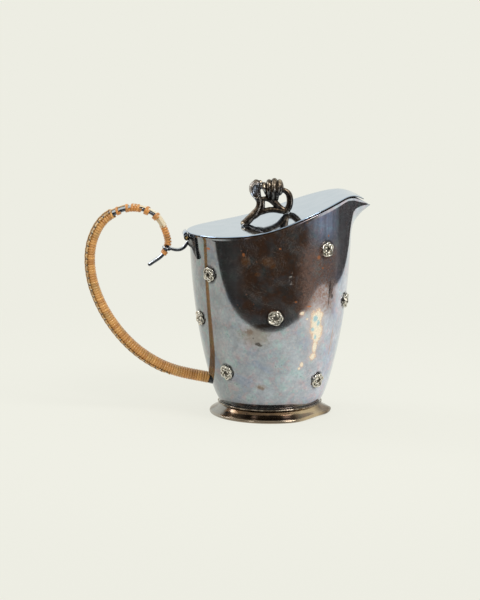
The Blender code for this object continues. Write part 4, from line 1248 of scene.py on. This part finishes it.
def makeRod():
    start = handle["rodStart"]
    shares = [start + (1.0 - start) * k / 150 for k in range(151)]
    route = [alongHandle(share)[0] for share in shares]
    radii = [rodRadius(share) for share in shares]
    mesh = loopMesh("handleRod", tubeLoops(route, radii, 24, flat=handle["wide"]), place=toAxis)
    ride(addSteel("handleRod", mesh), "jug", "blackened_metal", "handle_rod")
    # the thin collar where the grip meets the vessel, scribed to the wall
    low, high = handle["collar"]
    loops = []
    for share, wide in ((high, 0.0001), (high, 0.00060), (high - 0.001, 0.00095), (low + 0.001, 0.00100),
                        (low, 0.00100), (low, 0.0001)):
        place, ahead, side = alongHandle(share)
        loop = []
        reach = rodRadius(share) + wide
        for c, s in circle(40):
            point = place + side * reach * c + Vector((0.0, reach * handle["wide"] * s, 0.0))
            if share == low:
                for _ in range(120):  # walk to the wall
                    gap = math.hypot(point.x, point.y) - vesselRadius(math.atan2(point.y, point.x), point.z)
                    point -= ahead * (gap - 0.00005) * 0.7
            loop.append(point)
        loops.append(loop)
    collar = addObject("gripCollar", loopMesh("gripCollar", loops, place=toAxis), iron)
    ride(collar, "jug", "blackened_metal", "handle_socket")


def makeTieWire():
    place, ahead, side = alongHandle(handle["tieShare"])
    wire = handle["ringWire"]
    middle = rodRadius(handle["tieShare"]) + wire
    loops = []
    for turnC, turnS in circle(48):
        out = turnC * side + turnS * crosswise
        across = Vector((0.0, (handle["wide"] - 1.0) * middle * turnS, 0.0))
        loops.append([place + across + out * (middle + wire * c) + ahead * wire * s for c, s in circle(16)])
    ring = loopMesh("tieWire", loops, closed=True, place=toAxis)
    nearX = place.x + middle
    endX = -wallAtHinge - hinge["gap"] - hinge["plate"] - 0.0002
    span = endX - nearX
    arm = evenRoute([(nearX - 0.0006, place.z + 0.0001), (nearX + span * 0.28, place.z - 0.0009),
                     (nearX + span * 0.58, place.z - 0.0008), (nearX + span * 0.82, place.z + 0.0006),
                     (endX, 0.0964)], 36)
    radii = [handle["armWire"] * (0.90 + 0.10 * math.sin(math.pi * k / 35)) for k in range(36)]
    mesh = loopMesh("tieArm", tubeLoops(arm, radii, 16), place=toAxis)
    bm = bmesh.new()
    bm.from_mesh(ring)
    bm.from_mesh(mesh)
    bm.to_mesh(ring)
    bm.free()
    ride(addSteel("tieWire", ring), "jug", "blackened_metal", "handle_tie_wire")
    print("rod, collar and tie wire made")


# ---- hinge ----

wallAtHinge = vessel["profile"][5][1]
hinge = {
    "x": -0.0470, "z": 0.1004, "knuckle": 0.0015, "pin": 0.0007, "bore": 0.0008, "lidHalf": 0.0065, "half": 0.0110,
    "gap": 0.0003, "plate": 0.0006,
    # the plate's outline on one half as (distance round the wall, low edge, high edge)
    "columns": [(0.0, 0.0948, 0.0974), (0.0035, 0.0948, 0.0974), (0.0066, 0.0948, 0.0974),
                (0.0069, 0.0948, 0.1008), (0.0100, 0.0947, 0.1010), (0.0117, 0.0945, 0.1012),
                (0.0135, 0.0928, 0.1012), (0.0152, 0.0914, 0.1012), (0.0164, 0.0905, 0.1010),
                (0.0172, 0.0900, 0.0965), (0.0179, 0.0896, 0.0925), (0.0184, 0.0894, 0.0902)],
}


def barrel(name, start, end, outline, bore, soft=0.0002):
    # a bored bar along the hinge: outline gives its reach for each heading about the pin
    loops = []
    for c, s in circle(72):
        reach = outline(c, s)
        corners = ((start, bore), (start, reach - soft), (start + soft * 0.3, reach - soft * 0.3),
                   (start + soft, reach), (end - soft, reach), (end - soft * 0.3, reach - soft * 0.3),
                   (end, reach - soft), (end, bore))
        loops.append([(hinge["x"] + r * c, y, hinge["z"] + r * s) for y, r in corners])
    return loopMesh(name, loops, closed=True, place=toAxis)


def makeHinge():
    low = hinge["lidHalf"] + hinge["gap"]
    for name, node, start, end in (("knuckleNear", "hinge_knuckle_near", -hinge["half"], -low),
                                   ("knuckleFar", "hinge_knuckle_far", low, hinge["half"])):
        mesh = barrel(name, start, end, lambda c, s: hinge["knuckle"], hinge["bore"])
        ride(addObject(name, mesh, iron), "jug", "blackened_metal", node)

    top = lidHeight(-lid["radius"]) - hinge["z"]
    strap = [(-0.0015, 0.0), (-0.0015, 0.0014), (-0.0012, 0.0021), (-0.0006, top - 0.0002), (-0.0001, top),
             (0.0003, top), (0.0003, top - lid["thickness"] - 0.0002), (0.0009, 0.0012), (0.0, 0.0)]

    def strapReach(*heading):
        best = hinge["knuckle"]
        for (ax, az), (bx, bz) in zip(strap, strap[1:]):
            across = (bx - ax) * heading[1] - (bz - az) * heading[0]
            if abs(across) < 1e-12:
                continue
            part = (az * heading[0] - ax * heading[1]) / across
            reach = (ax + (bx - ax) * part) * heading[0] + (az + (bz - az) * part) * heading[1]
            if 0.0 <= part <= 1.0 and reach > best:
                best = reach
        return best

    mesh = barrel("lidLeaf", -hinge["lidHalf"], hinge["lidHalf"], strapReach, hinge["bore"])
    ride(addObject("lidLeaf", mesh, lidPlate), "lid", "lid_silver", "lid_hinge_leaf")

    end = hinge["half"] + 0.0004
    loops = []
    for y, share in ((-end - 0.0002, 0.3), (-end - 0.00012, 0.7), (-end, 1.0), (end, 1.0), (end + 0.00012, 0.7),
                     (end + 0.0002, 0.3)):
        r = hinge["pin"] * share
        loops.append([(hinge["x"] + r * c, y, hinge["z"] + r * s) for c, s in circle(28)])
    ride(addObject("hingePin", loopMesh("hingePin", loops, place=toAxis), brass), "jug", "brass", "hinge_pin")

    half = []
    for (y0, low0, high0), (y1, low1, high1) in zip(hinge["columns"], hinge["columns"][1:]):
        for k in range(4):
            share = k / 4
            half.append((y0 + (y1 - y0) * share, low0 + (low1 - low0) * share, high0 + (high1 - high0) * share))
    half.append(hinge["columns"][-1])
    columns = [(-y, low, high) for y, low, high in half[:0:-1]] + half
    loops = []
    for y, low, high in columns:
        angle = math.pi - y / wallAtHinge
        near, far = 0.00006, hinge["gap"] + hinge["plate"]
        edge = min(0.0002, (high - low) * 0.3)
        loops.append([onVessel(angle, z, out) for z, out in (
            (low, near), (high, near), (high, far - 0.00025), (high - edge * 0.4, far - 0.00008), (high - edge, far),
            (low + edge, far), (low + edge * 0.4, far - 0.00008), (low, far - 0.00025))])
    mesh = loopMesh("hingePlate", loops, place=toAxis)
    ride(addObject("hingePlate", mesh, iron), "jug", "blackened_metal", "hinge_bracket")
    print("hinge made")


handleRoute = evenRoute(handle["route"], handle["points"])

makeStudio()
makeVessel()
makeFoot()
makeLid()
makeRosettes()
makeFinial()
makeRod()
makeTieWire()
makeCane()
makeHinge()

# pieces that stay as they were drawn get their finishes here
for node, finish in (("vessel_bottom", plate), ("finial_stud_rear", brass), ("finial_stud_front", brass),
                     ("finial_nut_rear", brass), ("finial_nut_front", brass)):
    kept = bpy.data.objects[node]
    kept.data.materials.clear()
    kept.data.materials.append(finish)
